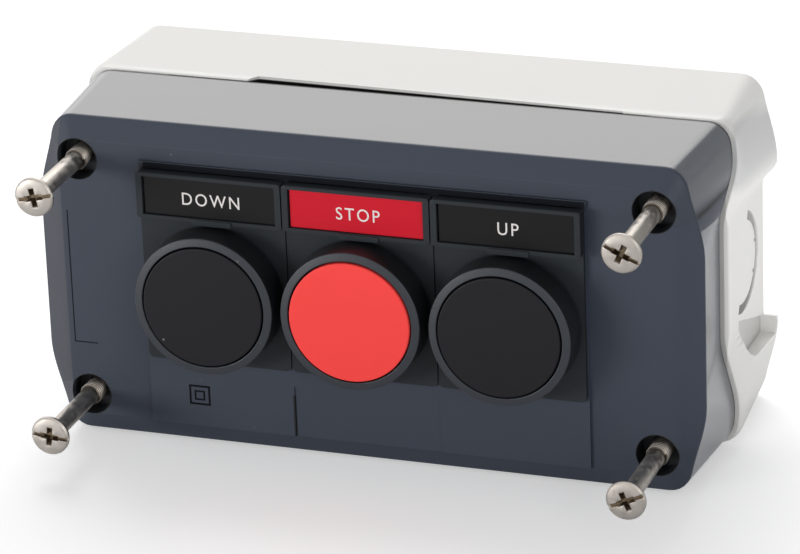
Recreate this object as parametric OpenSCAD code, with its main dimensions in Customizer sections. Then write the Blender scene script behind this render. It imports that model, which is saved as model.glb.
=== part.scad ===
// Pushbutton control station with three flush buttons, down, stop and up.
// A two-part moulded enclosure: the rear box is fixed to a wall, and the front cover carries
// three button heads with legend plates, their contact blocks and four captive screws.
// Lengths are in millimetres. Each piece is drawn lying on its back, x along the length, y up
// the front and z out of the wall, and stand() then turns it upright with its front to -Y.

/* [Enclosure] */
// Overall length of the enclosure
box_len = 136; // [134:1:150]
// Overall height of the enclosure
box_high = 68; // [66:1:76]
// Depth from the wall to the front face of the cover
box_deep = 53; // [52:1:60]
// Depth of the rear box, from the wall to its rim
base_deep = 25.5; // [25:0.5:27]
// Gap between the rim of the rear box and the cover
parting_gap = 0.3; // [0.2:0.1:0.5]
// Thinnest wall of both mouldings
wall = 2.5; // [2.3:0.1:3]
// Thickness of the front panel of the cover
panel = 3; // [2.6:0.1:3.6]
// Radius of the upright corners
corner_r = 4; // [3:0.5:5]

/* [Front edge of the cover] */
// How far the front edge lies inside the overall length at each end
front_in = 0.6; // [0.4:0.1:1]
// How far the front edge lies inside the overall height above and below
front_low = 0.8; // [0.6:0.1:1.2]
// How far the ends of the front edge fall back towards the corners
front_bow = 3.5; // [2:0.5:4]
// Height above the centre line at which that fall begins
front_bow_start = 15; // [12:1:18]
// Width of the front bevel at the ends
bevel_ends = 5.4; // [4:0.2:6]
// Width of the front bevel along the long sides
bevel_sides = 4.2; // [3:0.2:5]
// Depth of the front bevel
bevel_deep = 2.4; // [1.5:0.1:3]
// Radius that blends the bevel into the sides
bevel_round = 0.8; // [0.6:0.1:1.6]

/* [Scooped ends] */
// How far the back edge of the cover lies inside the overall length at its corners
rear_in = 1.9; // [1.5:0.1:2.5]
// How far the back edge of the cover lies inside the overall height
rear_low = 0.6; // [0.4:0.1:1]
// How far the back corners of the cover fall back
rear_bow = 0.6; // [0.3:0.1:1]
// Depth of the scoop in each end, at the parting line
scoop = 2.8; // [2:0.1:3.4]
// Half height of the flat middle of the scoop
scoop_flat = 11; // [8:1:12]
// Half height at which the scoop has run out
scoop_end = 26; // [22:1:27]

/* [Rear box] */
// How far the rim of the rear box stands proud of the cover
rim_step = 0.8; // [0.5:0.1:1.2]
// Depth of the rounded shoulder at the rim
shoulder_deep = 2.4; // [1.5:0.1:3]
// How far the shoulder drops towards the rim
shoulder_drop = 0.5; // [0.3:0.1:0.8]
// Depth of the recess in each end, at the wall
recess = 3; // [2:0.1:3.4]
// Height above the centre line at which the slope out of that recess begins, and at which it ends
recess_flat = 12.4; // [12:0.2:14]
recess_end = 15.6; // [15:0.2:18]
// Distance of the ledge under that recess below the centre line
recess_low = 16.4; // [15.8:0.2:17]
// Depth, length and lower limit of the round hollow under the recess
hollow_deep = 0.6; // [0.4:0.1:1]
hollow_len = 17; // [15:0.5:18]
hollow_low = 20; // [19:0.2:21]
// Radius of its round end
hollow_round = 6.2; // [5.6:0.2:6.6]
// Angle of its upper edge
hollow_turn = 18; // [14:1:18]
// Thickness of the web between the hollow and the wall
hollow_web = 0.8; // [0.6:0.1:1.2]
// How far the ends of the back edge fall back towards the corners
base_bow = 3; // [2:0.5:4]
// Height at which that fall begins
base_bow_start = 17; // [15:1:20]
// Thickness of the rear wall
floor_thick = 2.5; // [2:0.1:3.5]
// Length of the pry slot under the upper edge of the cover
pry_len = 77; // [50:1:90]
// Distance of the middle of the pry slot from the middle of the box
pry_off = 5.8; // [0:0.2:8]
// Widest and narrowest opening of the pry slot
pry_wide = 1.8; // [1.2:0.1:2.2]
pry_narrow = 0.3; // [0.2:0.1:0.8]
// Depth of the pry slot into the wall
pry_deep = 1.9; // [1:0.1:2.2]

/* [Wall fixing] */
// Distance between the fixing holes along the length
fix_span_len = 96; // [80:1:98]
// Distance between the fixing holes up the height
fix_span_high = 40; // [30:1:42]
// Radius of the fixing holes
fix_hole_r = 2.25; // [1.75:0.05:2.75]
// Width of the raised collar around each fixing hole
fix_collar_wide = 1.5; // [1:0.25:2]
// Height of that collar
fix_collar_high = 3; // [1:0.5:5]

/* [Cable knock-outs] */
// Radius of the hole that a knock-out leaves
knock_r = 10.3; // [8:0.1:10.4]
// Width of the groove half way around it
knock_groove = 1.9; // [1:0.1:2.2]
// Depth of that groove
knock_deep = 1.1; // [0.8:0.1:1.4]
// Thickness of plastic left under the groove
knock_web = 0.9; // [0.6:0.1:1.4]
// Distance of the knock-out from the wall
knock_z = 14; // [14:0.5:14.5]
// Angle by which the groove is turned down
knock_turn = 20; // [0:1:30]
// Width of the two notches in the disc's rim
knock_notch = 0.8; // [0.5:0.1:1.2]
// Half the angle between the two notches
knock_notch_angle = 22; // [10:1:30]
// Width of the thinned wall beyond the hole, inside
knock_seat = 0.8; // [0.5:0.1:0.9]

/* [Seal] */
// Depth of the seal groove in the rim of the rear box
seal_groove_deep = 5; // [4:0.5:6]
// Width of the seal groove
seal_groove_wide = 1.6; // [1.5:0.1:1.8]
// Thickness of the lip outside the groove
seal_lip = 1.2; // [1:0.1:1.3]
// Height of the gasket
gasket_high = 2.7; // [2:0.1:3]
// Side clearance of the gasket in its groove
gasket_play = 0.1; // [0.05:0.05:0.15]
// Side clearance of the cover's tongue in the groove
tongue_play = 0.2; // [0.15:0.05:0.3]
// Gap between the tongue and the gasket
tongue_gap = 0.3; // [0.2:0.1:0.5]

/* [Cover screws] */
// Distance of each screw from the end of the box
screw_end_in = 9.7; // [9.5:0.1:11]
// Distance of each screw from the long side of the box
screw_side_in = 9.1; // [8.9:0.1:10]
// Radius of the pillar around each screw
pillar_r = 5.6; // [5.2:0.1:6]
// Radius of the deep hole in the cover
screw_hole_r = 4.2; // [4.1:0.1:4.4]
// Radius of the screw head
screw_head_r = 3.9; // [3.6:0.1:3.9]
// Height of the screw head
screw_head_high = 2.6; // [2.2:0.1:3]
// Radius of the smooth shank
screw_shank_r = 1.8; // [1.5:0.1:2]
// Radius of the thread
screw_thread_r = 2.2; // [2.1:0.05:2.3]
// Length of the thread
screw_thread_len = 17.5; // [15:0.5:18]
// Overall length of the screw
screw_len = 38; // [36:0.5:39]
// Width and depth of the slot in the head
screw_slot_wide = 1; // [0.8:0.1:1.2]
screw_slot_deep = 1.1; // [0.8:0.1:1.4]
// How far the tightened head lies below the front face
screw_sunk = 2; // [1:0.25:3]
// Distance that the loosened screw is drawn out
screw_travel = 23.5; // [20:0.5:24]
// Radial clearance around the thread
screw_play = 0.1; // [0.05:0.01:0.15]
// Radius of the brass insert in the rear box
insert_r = 3; // [2.8:0.1:3.2]
// Length of that insert
insert_len = 10; // [8:0.5:10]

/* [Stations] */
// Distance between neighbouring buttons
pitch = 30; // [30:0.5:31]
// How far the field under the stations is raised above the front face
field_rise = 0.5; // [0.3:0.1:0.8]
// Margin of that field beyond the legend holders
field_margin = 0.2; // [0.1:0.1:0.5]
// Margin of that field above the legend holders
field_top_margin = 1.3; // [0.5:0.1:1.5]
// Depth of the shallow panel in the lower part of that field
low_panel_deep = 0.25; // [0.1:0.05:0.4]
// Distance from the legend holders down to that panel
low_panel_gap = 3.5; // [2:0.5:5]
// Radius of the holes for the button heads
head_hole_r = 11.2; // [11.15:0.05:11.4]
// Travel of each button
travel = 4; // [3.5:0.1:4]

/* [Legend holders] */
// Overall height of a legend holder
holder_high = 39.7; // [38:0.1:40.5]
// Distance of its lower edge below the button's centre
holder_below = 15; // [14.8:0.1:16]
// Gap between neighbouring holders
holder_gap = 0.15; // [0.1:0.05:0.3]
// Thickness of the holder's plate
plate_thick = 0.7; // [0.5:0.1:1]
// Radius of the plate's corners
plate_corner_r = 0.8; // [0.5:0.1:1.5]
// How far the legend frame stands proud of the front face
frame_proud = 3.1; // [2.6:0.1:3.4]
// Gap between neighbouring legend frames
frame_gap = 0.8; // [0.5:0.1:1.2]
// Length and height of a legend plate
legend_len = 27; // [26:0.1:27.2]
legend_high = 8; // [7.5:0.1:8.2]
// Thickness of a legend plate
legend_thick = 0.9; // [0.6:0.1:1.2]
// How far the legend plate lies below the face of its frame
legend_sunk = 0.5; // [0.3:0.1:0.6]
// Side clearance of the legend plate
legend_play = 0.15; // [0.1:0.05:0.25]
// Width of the frame's bar above the legend plate
frame_bar = 0.75; // [0.6:0.05:1]
// Length of the catch in the middle of the lower bar
catch_len = 8; // [6:0.5:10]
// Height of that catch above the frame
catch_rise = 0.25; // [0.15:0.05:0.4]

/* [Button heads] */
// How far the bezel stands proud of the front face
bezel_proud = 8.7; // [8.5:0.1:9.5]
// Outer radius of the bezel
bezel_r = 14.3; // [14:0.1:14.6]
// Inner radius of the bezel
bezel_bore_r = 12.5; // [12.3:0.1:12.7]
// Radius of the bezel's rounded front edge
bezel_round = 0.35; // [0.2:0.05:0.5]
// Thickness of the bezel's floor
bezel_floor = 1.2; // [1:0.1:1.3]
// Outer radius of the barrel
barrel_r = 11; // [10.8:0.05:11.05]
// Wall thickness of the barrel
barrel_wall = 1.4; // [1.2:0.1:1.5]
// How far the barrel stops short of the collar's back face
barrel_short = 1; // [0.5:0.1:1.5]
// Thickness of the seal under the bezel
head_seal_thick = 0.7; // [0.5:0.1:0.9]
// Width of that seal
head_seal_wide = 2.2; // [1.5:0.1:2.4]
// Clearance between the cap and the bezel
cap_play = 0.32; // [0.25:0.01:0.4]
// How far the cap lies below the front of the bezel
cap_sunk = 0.3; // [0.1:0.1:0.6]
// Thickness of the cap's face
cap_face = 1.1; // [0.8:0.05:1.15]
// Radius of the cap's rounded edge
cap_round = 0.4; // [0.2:0.05:0.5]
// Outer radius of the cap's skirt
skirt_r = 9.2; // [9:0.05:9.3]
// Wall thickness of the skirt
skirt_wall = 1.3; // [1:0.1:1.4]
// Length of the skirt below the cap's face
skirt_len = 6.5; // [5:0.5:7]
// Radius of the stem that guides the cap
stem_r = 5; // [4.5:0.1:5.1]
// Radial clearance around the stem
stem_play = 0.05; // [0.03:0.01:0.1]
// Thickness of the guide around the stem
guide_thick = 3; // [2.5:0.5:3]
// Distance from the end of the barrel to the guide
guide_up = 4.5; // [4:0.1:5]

/* [Fixing collars] */
// Length and height of a fixing collar
collar_len = 28; // [27:0.5:29]
collar_high = 36; // [34:0.5:38]
// Thickness of a fixing collar
collar_thick = 10.5; // [10:0.1:11]
// Radius of its corners
collar_corner_r = 2; // [1:0.5:3]
// Clearance of the barrel in the collar
collar_play = 0.1; // [0.05:0.05:0.15]
// Place of the clamping screw from the middle of the collar
clamp_x = 10.5; // [10:0.5:11]
clamp_y = 13.5; // [13:0.5:14]
// Radius of the clamping screw's shank and head
clamp_shank_r = 1.5; // [1.2:0.1:1.6]
clamp_head_r = 2.7; // [2.4:0.1:2.8]
// Height of its head
clamp_head_high = 1.6; // [1.2:0.1:2]

/* [Contact blocks] */
// Length, height and depth of a contact block
block_len = 12; // [11:0.5:13]
block_high = 40; // [39:0.5:42]
block_deep = 22; // [21:0.5:22]
// Wall thickness of a contact block
block_wall = 1.3; // [1.2:0.1:1.5]
// Thickness of its side cover
block_cover = 1; // [0.8:0.1:1.2]
// Radius of the plunger
plunger_r = 2; // [1.8:0.1:2.2]
// Radial clearance around the plunger
plunger_play = 0.05; // [0.03:0.01:0.1]
// Radius of the plunger's tail, inside the contact spring
tail_r = 1.1; // [0.9:0.1:1.2]
// Clearance left when the button is fully pressed
end_gap = 0.4; // [0.3:0.1:0.5]
// Half height of the switching chamber
chamber_half = 9; // [8.8:0.1:9.4]
// Depth of the fixed strips below the front of the block
strip_depth = 12; // [11.8:0.1:12.4]
// Thickness and width of the fixed strips
strip_thick = 0.8; // [0.6:0.1:0.9]
strip_wide = 5; // [4:0.5:6]
// Distance of the strips' inner ends from the middle
strip_inner = 4.2; // [3.8:0.1:4.4]
// Place, radius and height of the contact rivets
rivet_y = 5.9; // [5.8:0.1:6.2]
rivet_r = 1.3; // [1:0.1:1.4]
rivet_high = 0.6; // [0.4:0.1:0.7]
// Gap between closed contacts
closed_gap = 0.15; // [0.1:0.05:0.2]
// Place of the terminal screws from the middle
terminal_y = 14.2; // [14:0.1:14.6]
// Radius of the terminal screw's head and shank
terminal_head_r = 2.6; // [2.4:0.1:2.8]
terminal_shank_r = 1.5; // [1.2:0.1:1.6]
// Height of its head and length of its shank
terminal_head_high = 1.8; // [1.4:0.1:2]
terminal_shank_len = 6; // [5:0.5:7]
// Height of a wire entry
wire_entry = 4; // [3.5:0.1:4.2]

/* [Springs] */
// Radius of the return spring's wire
return_wire_r = 0.4; // [0.3:0.05:0.5]
// Turns of the return spring
return_turns = 5; // [4:1:6]
// Clearance between the stem and the return spring
return_play = 0.7; // [0.5:0.1:0.8]
// Radius of the contact spring's wire
contact_wire_r = 0.25; // [0.2:0.05:0.3]
// Clearance between the tail and the contact spring
contact_play = 0.3; // [0.3:0.05:0.4]
// Turns of the contact spring for each millimetre of its length
contact_turns_share = 0.3; // [0.2:0.05:0.8]
// Gap between the end of a spring and its seat
spring_seat = 0.3; // [0.25:0.05:0.4]

/* [Hidden] */

$fn = 64;
// One overrun serves all cuts
over = 0.5;

// The three stations: name, and whether pressing it closes its contact
STATIONS = [["left", true], ["centre", false], ["right", true]];
// The four cover screws: name, and the sides on which each lies
SCREWS = [["upper_left", -1, 1], ["upper_right", 1, 1], ["lower_left", -1, -1], ["lower_right", 1, -1]];

half_len = box_len / 2;
half_high = box_high / 2;
screw_x = half_len - screw_end_in;
screw_y = half_high - screw_side_in;

// Heights above the wall, from the rim of the rear box to the front of the bezels
cover_back_z = base_deep + parting_gap;
panel_back_z = box_deep - panel;
field_z = box_deep + field_rise;
plate_front_z = field_z + plate_thick;
frame_front_z = box_deep + frame_proud;
bezel_back_z = plate_front_z + head_seal_thick;
bezel_floor_z = bezel_back_z + bezel_floor;
bezel_front_z = box_deep + bezel_proud;
collar_back_z = panel_back_z - collar_thick;
barrel_back_z = collar_back_z + barrel_short;
guide_back_z = barrel_back_z + guide_up;
guide_front_z = guide_back_z + guide_thick;
block_back_z = collar_back_z - block_deep;
cap_front_z = bezel_front_z - cap_sunk;
cap_back_z = cap_front_z - cap_face;
stem_back_z = collar_back_z + travel + end_gap;

// The wiring chamber that both mouldings enclose, measured at the cover
chamber_x = half_len - rear_in - scoop - wall;
chamber_y = half_high - rear_low - wall;
base_inset = seal_lip + seal_groove_wide + seal_lip - wall;
groove_out = wall - seal_lip;

// Steps along an outline: around one corner, and along one end
arc_steps = 6;
end_steps = 48;
round_steps = 4;

// Straight and smooth steps from 0 to 1
function ramp(u) = min(max(u, 0), 1);
function ease(u) = let (c = ramp(u)) c * c * (3 - 2 * c);

// What is left of a scoop and of a recess at height y
function scoop_share(y) = 1 - ease((abs(y) - scoop_flat) / (scoop_end - scoop_flat));
function recess_share(y) = 1 - (y < 0
    ? ramp((-y - recess_low) / (recess_end - recess_flat) + 1)
    : ramp((y - recess_flat) / (recess_end - recess_flat)));

// Half length of an outline at height y, with its ends bowed back towards the corners
function end_x(y, reach, high, bow, bow_start) =
    reach - bow * ease((abs(y) - bow_start) / (high - bow_start));

// One closed outline, from the lower right corner round to the lower left, with its ends drawn
// in by a scoop and by a recess
function outline(reach, high, r, bow, bow_start, scooped, recessed) =
    let (
        lower = [for (i = [0:arc_steps - 1]) -90 + 90 * i / arc_steps],
        upper = [for (i = [1:arc_steps]) 90 * i / arc_steps],
        corner_y = high - r,
        raw = concat(
            [for (a = lower) [r * (1 - cos(a)), -corner_y + r * sin(a)]],
            [for (i = [0:end_steps]) [0, corner_y * (2 * i / end_steps - 1)]],
            [for (a = upper) [r * (1 - cos(a)), corner_y + r * sin(a)]]
        ),
        right = [for (p = raw)
            [end_x(p[1], reach, high, bow, bow_start) - scooped * scoop_share(p[1])
                - recessed * recess_share(p[1]) - p[0], p[1]]]
    )
    concat(right, [for (i = [len(right) - 1:-1:0]) [-right[i][0], right[i][1]]]);

// A solid through outlines of equally many points, each given as [z, points]
module loft(levels) {
    n = len(levels[0][1]);
    last = len(levels) - 1;
    top = last * n;
    points = [for (level = levels) for (p = level[1]) [p[0], p[1], level[0]]];
    sides = [for (k = [0:last - 1]) for (i = [0:n - 1])
        let (a = k * n + i, b = k * n + (i + 1) % n)
        each [[a, a + n, b + n], [a, b + n, b]]];
    back = [for (i = [0:n / 2 - 2]) let (j = n - 1 - i)
        each [[i, i + 1, j - 1], [i, j - 1, j]]];
    front = [for (i = [0:n / 2 - 2]) let (j = n - 1 - i)
        each [[top + i, top + j - 1, top + i + 1], [top + i, top + j, top + j - 1]]];
    polyhedron(points = points, faces = concat(sides, back, front), convexity = 4);
}

// An unbroken wire of six sides, wound around the z axis from one height to another
function coil_point(r, wire_r, low, high, turns, step, side) =
    let (
        turn = 45 * step,
        share = step / (8 * turns),
        out = r + wire_r * cos(60 * side)
    )
    [out * cos(turn), out * sin(turn),
     low + wire_r + (high - low - 2 * wire_r) * share + wire_r * sin(60 * side)];

module coil(r, wire_r, low, high, turns) {
    rings = 8 * turns;
    points = [for (s = [0:rings]) for (k = [0:5]) coil_point(r, wire_r, low, high, turns, s, k)];
    sides = [for (s = [0:rings - 1]) for (k = [0:5])
        let (a = 6 * s + k, b = 6 * s + (k + 1) % 6)
        each [[a, a + 6, b + 6], [a, b + 6, b]]];
    polyhedron(points = points, faces = concat(sides, [[0, 1, 2, 3, 4, 5]],
        [[for (k = [5:-1:0]) 6 * rings + k]]), convexity = 4);
}

// Least gap between one turn of a coil and the next
function coil_gap(r, wire_r, low, high, turns) =
    min([for (s = [0:8 * (turns - 1)]) for (k = [0:5]) for (m = [0:5])
        norm(coil_point(r, wire_r, low, high, turns, s, k)
            - coil_point(r, wire_r, low, high, turns, s + 8, m))]);

// Turns a piece upright: its front faces -Y and its top faces +Z
module stand() {
    rotate([90, 0, 0]) children();
}

module at_station(i) {
    translate([(i - 1) * pitch, 0, 0]) children();
}

module at_screws() {
    for (s = SCREWS) translate([s[1] * screw_x, s[2] * screw_y, 0]) children();
}

module rounded_plate(length, height, r) {
    hull_x = length / 2 - r;
    hull_y = height / 2 - r;
    square([length, height - 2 * r], center = true);
    square([length - 2 * r, height], center = true);
    for (x = [-hull_x, hull_x], y = [-hull_y, hull_y]) translate([x, y]) circle(r);
}

// Plan of one screw pillar, filled out to its corner
module pillar_plan(r) {
    translate([screw_x, screw_y]) union() {
        circle(r);
        translate([-r, 0]) square([half_len, half_high]);
        translate([0, -r]) square([half_len, half_high]);
    }
}

// Plan of the wiring chamber, drawn in by an inset. It passes inside the screw pillars.
module chamber_plan(inset) {
    difference() {
        square([2 * (chamber_x - inset), 2 * (chamber_y - inset)], center = true);
        for (mx = [0, 1], my = [0, 1])
            mirror([mx, 0, 0]) mirror([0, my, 0]) pillar_plan(pillar_r + inset);
    }
}

// The rear box

function base_outline(out, drop) =
    outline(half_len - rear_in + out, half_high - drop, corner_r, rear_bow, scoop_end, scoop, 0);

module base_body() {
    rim_in = rim_step;
    wall_outline = outline(half_len, half_high, corner_r, base_bow, base_bow_start, 0, recess);
    loft(concat(
        [[0, wall_outline]],
        [for (i = [0:round_steps]) let (
            a = 90 * i / round_steps,
            fall = shoulder_drop * (1 - cos(a))
        ) [base_deep - shoulder_deep * (1 - sin(a)), base_outline(rim_in + shoulder_drop - fall, fall)]]
    ));
}

// Tapered slot for a screwdriver, cut into the upper part of the rim
module pry_slot() {
    low_end = pry_off - pry_len / 2;
    high_end = pry_off + pry_len / 2;
    translate([0, half_high + over, base_deep])
        rotate([90, 0, 0])
            linear_extrude(pry_deep + over)
                polygon([[low_end, over], [low_end, 0], [low_end + pry_wide, -pry_wide],
                    [high_end, -pry_narrow], [high_end, over]]);
}

// Groove half way around a cable knock-out, with two notches in the disc's rim, and the thinned
// wall behind it, which stops below the seal
module knock_out() {
    groove_back = half_len - recess - knock_deep - scoop / 4;
    disc_r = knock_r - knock_groove;
    seat_len = groove_back - knock_web - chamber_x + base_inset + over;
    under_seal = base_deep - seal_groove_deep - seal_lip - knock_z;
    cut_len = recess + 2 * knock_deep;
    translate([0, 0, knock_z]) {
        translate([groove_back, 0, 0]) rotate([-knock_turn, 0, 0]) intersection() {
            rotate([0, 90, 0]) difference() {
                cylinder(r = knock_r, h = cut_len);
                translate([0, 0, -over]) cylinder(r = disc_r, h = cut_len + 2 * over);
            }
            translate([-over, -half_high, -half_high]) cube([cut_len + 2 * over, box_high, half_high]);
        }
        for (side = [-1, 1]) translate([groove_back, 0, 0])
            rotate([-knock_turn / 2 + side * knock_notch_angle, 0, 0])
                translate([0, -knock_notch / 2, -disc_r - knock_groove / 2])
                    cube([cut_len, knock_notch, knock_groove / 2 + knock_notch]);
        translate([chamber_x - base_inset - over, 0, 0]) intersection() {
            rotate([0, 90, 0]) cylinder(r = knock_r + knock_seat, h = seat_len);
            translate([0, -half_high, -half_high]) cube([seat_len, box_high, half_high + under_seal]);
        }
    }
}

// Ledge under the recess, and the round hollow in it, which stops short of the wall
module end_hollow() {
    round_z = hollow_web + hollow_len - hollow_round;
    translate([half_len - recess, 0, 0]) {
        translate([0, -recess_low, -over])
            cube([box_len, recess_low - recess_flat, hollow_len + over]);
        translate([-hollow_deep, 0, 0]) intersection() {
            union() {
                translate([0, hollow_round - hollow_low, round_z])
                    rotate([0, 90, 0]) cylinder(r = hollow_round, h = box_len);
                translate([0, -hollow_low, hollow_web])
                    cube([box_len, hollow_round, round_z - hollow_web]);
            }
            translate([-over, -recess_low, hollow_web]) rotate([-hollow_turn, 0, 0])
                translate([0, -box_high, -half_high]) cube([2 * box_len, box_high, box_high]);
        }
    }
}

module fixing_places() {
    for (x = [-fix_span_len / 2, fix_span_len / 2], y = [-fix_span_high / 2, fix_span_high / 2])
        translate([x, y, 0]) children();
}

module rear_box() {
    stand() color([0.87, 0.87, 0.86]) difference() {
        union() {
            difference() {
                base_body();
                translate([0, 0, floor_thick])
                    linear_extrude(base_deep) chamber_plan(base_inset);
                translate([0, 0, base_deep - seal_groove_deep])
                    linear_extrude(seal_groove_deep + over)
                        difference() {
                            chamber_plan(-groove_out);
                            chamber_plan(seal_groove_wide - groove_out);
                        }
                for (end = [0, 1]) mirror([end, 0, 0]) {
                    knock_out();
                    end_hollow();
                }
                pry_slot();
            }
            fixing_places() cylinder(r = fix_hole_r + fix_collar_wide, h = floor_thick + fix_collar_high);
        }
        fixing_places() translate([0, 0, -over])
            cylinder(r = fix_hole_r, h = floor_thick + fix_collar_high + 2 * over);
        at_screws() {
            translate([0, 0, base_deep - insert_len]) cylinder(r = insert_r, h = insert_len + over);
            translate([0, 0, cover_screw_tip_z - over])
                cylinder(r = screw_thread_r + screw_play, h = base_deep);
        }
    }
}

cover_screw_tip_z = box_deep - screw_sunk - screw_len;

module screw_inserts() {
    stand() color([0.80, 0.63, 0.30]) at_screws()
        translate([0, 0, base_deep - insert_len]) difference() {
            cylinder(r = insert_r, h = insert_len);
            translate([0, 0, -over]) cylinder(r = screw_thread_r + screw_play, h = insert_len + 2 * over);
        }
}

module box_gasket() {
    stand() color([0.10, 0.10, 0.10])
        translate([0, 0, base_deep - seal_groove_deep])
            linear_extrude(gasket_high)
                difference() {
                    chamber_plan(gasket_play - groove_out);
                    chamber_plan(seal_groove_wide - groove_out - gasket_play);
                }
}

// The front cover

function front_outline(inset) =
    outline(half_len - front_in - inset * bevel_ends, half_high - front_low - inset * bevel_sides,
        corner_r * (1 - inset / 4), front_bow * (1 - inset), front_bow_start, 0, 0);

module cover_body() {
    slope = atan(bevel_deep / bevel_sides);
    turn = 90 - slope;
    edge_z = box_deep - bevel_deep;
    back_outline = outline(half_len - rear_in, half_high - rear_low, corner_r, rear_bow, scoop_end,
        scoop, 0);
    loft(concat(
        [[cover_back_z, back_outline]],
        [for (i = [0:round_steps]) let (a = turn * i / round_steps)
            [edge_z - bevel_round * (tan(turn / 2) - sin(a)) ,
             front_outline(bevel_round * (1 - cos(a)) / bevel_sides)]],
        [[box_deep, front_outline(1)]]
    ));
}

module field_plan() {
    wide = 3 * pitch + 2 * field_margin;
    low = -(half_high - front_low - bevel_sides);
    high = holder_high - holder_below + field_top_margin;
    translate([-wide / 2, low]) square([wide, high - low]);
}

// Shallow panel below the middle station
module low_panel() {
    high = half_high - front_low - bevel_sides - holder_below - low_panel_gap;
    translate([-pitch / 2, -holder_below - low_panel_gap - high, field_z - low_panel_deep])
        cube([pitch, high, field_rise]);
}

module front_cover() {
    stand() color([0.26, 0.28, 0.32]) difference() {
        union() {
            cover_body();
            translate([0, 0, panel_back_z]) linear_extrude(panel + field_rise) field_plan();
            translate([0, 0, base_deep - seal_groove_deep + gasket_high + tongue_gap])
                linear_extrude(seal_groove_deep - gasket_high)
                    difference() {
                        chamber_plan(tongue_play - groove_out);
                        chamber_plan(0);
                    }
        }
        translate([0, 0, base_deep - seal_groove_deep])
            linear_extrude(panel_back_z - base_deep + seal_groove_deep) chamber_plan(0);
        for (i = [0:2]) at_station(i) translate([0, 0, panel_back_z - over])
            cylinder(r = head_hole_r, h = panel + field_rise + 2 * over);
        low_panel();
        at_screws() {
            translate([0, 0, base_deep - over])
                cylinder(r = screw_thread_r + screw_play, h = box_deep);
            translate([0, 0, box_deep - screw_sunk - screw_head_high - screw_play])
                cylinder(r = screw_hole_r, h = box_deep);
        }
    }
}

// The legend holders and plates

legend_y = holder_high - holder_below - frame_bar - legend_high / 2;

module legend_holder() {
    holder_y = holder_high / 2 - holder_below;
    frame_len = pitch - frame_gap;
    frame_high = legend_high + 2 * frame_bar;
    pocket_len = legend_len + 2 * legend_play;
    pocket_high = legend_high + 2 * legend_play;
    pocket_back_z = frame_front_z - legend_sunk - legend_thick;
    stand() color([0.17, 0.18, 0.19]) difference() {
        union() {
            translate([0, holder_y, field_z])
                linear_extrude(plate_thick)
                    rounded_plate(pitch - holder_gap, holder_high, plate_corner_r);
            translate([0, legend_y, field_z])
                linear_extrude(frame_front_z - field_z)
                    rounded_plate(frame_len, frame_high, plate_corner_r);
            translate([-catch_len / 2, legend_y - frame_high / 2, field_z])
                cube([catch_len, frame_bar, frame_front_z + catch_rise - field_z]);
        }
        translate([-pocket_len / 2, legend_y - legend_high / 2 - legend_play, pocket_back_z])
            cube([pocket_len, pocket_high, legend_sunk + legend_thick + over]);
        translate([0, 0, field_z - over])
            cylinder(r = head_hole_r, h = frame_front_z);
    }
}

module legend_plate(fill) {
    stand() color(fill)
        translate([-legend_len / 2, legend_y - legend_high / 2, frame_front_z - legend_sunk - legend_thick])
            cube([legend_len, legend_high, legend_thick]);
}

// The button heads

module button_head() {
    bore_r = barrel_r - barrel_wall;
    stand() color([0.20, 0.21, 0.22]) rotate_extrude() union() {
        polygon(concat(
            [[bore_r, bezel_back_z], [bezel_r, bezel_back_z]],
            [for (a = [0:22.5:90])
                [bezel_r - bezel_round * (1 - cos(a)), bezel_front_z - bezel_round * (1 - sin(a))]],
            [[bezel_bore_r, bezel_front_z], [bezel_bore_r, bezel_floor_z], [bore_r, bezel_floor_z]]
        ));
        translate([bore_r, barrel_back_z]) square([barrel_wall, bezel_floor_z - barrel_back_z]);
        translate([stem_r + stem_play, guide_back_z])
            square([barrel_r - stem_r - stem_play, guide_thick]);
    }
}

module head_seal() {
    stand() color([0.08, 0.08, 0.08])
        translate([0, 0, plate_front_z]) difference() {
            cylinder(r = head_hole_r + head_seal_wide, h = head_seal_thick);
            translate([0, 0, -over]) cylinder(r = head_hole_r, h = head_seal_thick + 2 * over);
        }
}

module button_cap(fill) {
    cap_r = bezel_bore_r - cap_play;
    stand() color(fill) rotate_extrude() union() {
        polygon(concat(
            [[0, cap_back_z], [cap_r, cap_back_z]],
            [for (a = [0:22.5:90])
                [cap_r - cap_round * (1 - cos(a)), cap_front_z - cap_round * (1 - sin(a))]],
            [[0, cap_front_z]]
        ));
        translate([skirt_r - skirt_wall, cap_back_z - skirt_len])
            square([skirt_wall, skirt_len + cap_face / 2]);
        translate([0, stem_back_z]) square([stem_r, cap_back_z - stem_back_z + cap_face / 2]);
    }
}

module return_spring() {
    stand() color([0.72, 0.73, 0.75])
        coil(return_r, return_wire_r, return_low, return_high, return_turns);
}

return_r = stem_r + return_play + return_wire_r;
return_low = guide_front_z + spring_seat;
return_high = cap_back_z - spring_seat;

// The fixing collars

module fixing_collar() {
    stand() color([0.75, 0.76, 0.76])
        translate([0, 0, collar_back_z]) difference() {
            linear_extrude(collar_thick) rounded_plate(collar_len, collar_high, collar_corner_r);
            translate([0, 0, -over]) cylinder(r = barrel_r + collar_play, h = collar_thick + 2 * over);
            translate([clamp_x, clamp_y, -over])
                cylinder(r = clamp_shank_r + collar_play, h = collar_thick + 2 * over);
        }
}

module clamp_screws() {
    stand() color([0.70, 0.71, 0.73]) for (i = [0:2]) at_station(i)
        translate([clamp_x, clamp_y, collar_back_z - clamp_head_high]) difference() {
            union() {
                cylinder(r = clamp_head_r, h = clamp_head_high);
                cylinder(r = clamp_shank_r, h = clamp_head_high + collar_thick - collar_play);
            }
            translate([-clamp_head_r - over, -clamp_shank_r / 4, -over])
                cube([2 * (clamp_head_r + over), clamp_shank_r / 2, over + clamp_head_high / 2]);
        }
}

// The contact blocks

strip_z = collar_back_z - strip_depth;
pocket_y = block_high / 2 - block_wall;
rivet_gap = 2 * rivet_high + strip_thick;

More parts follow.
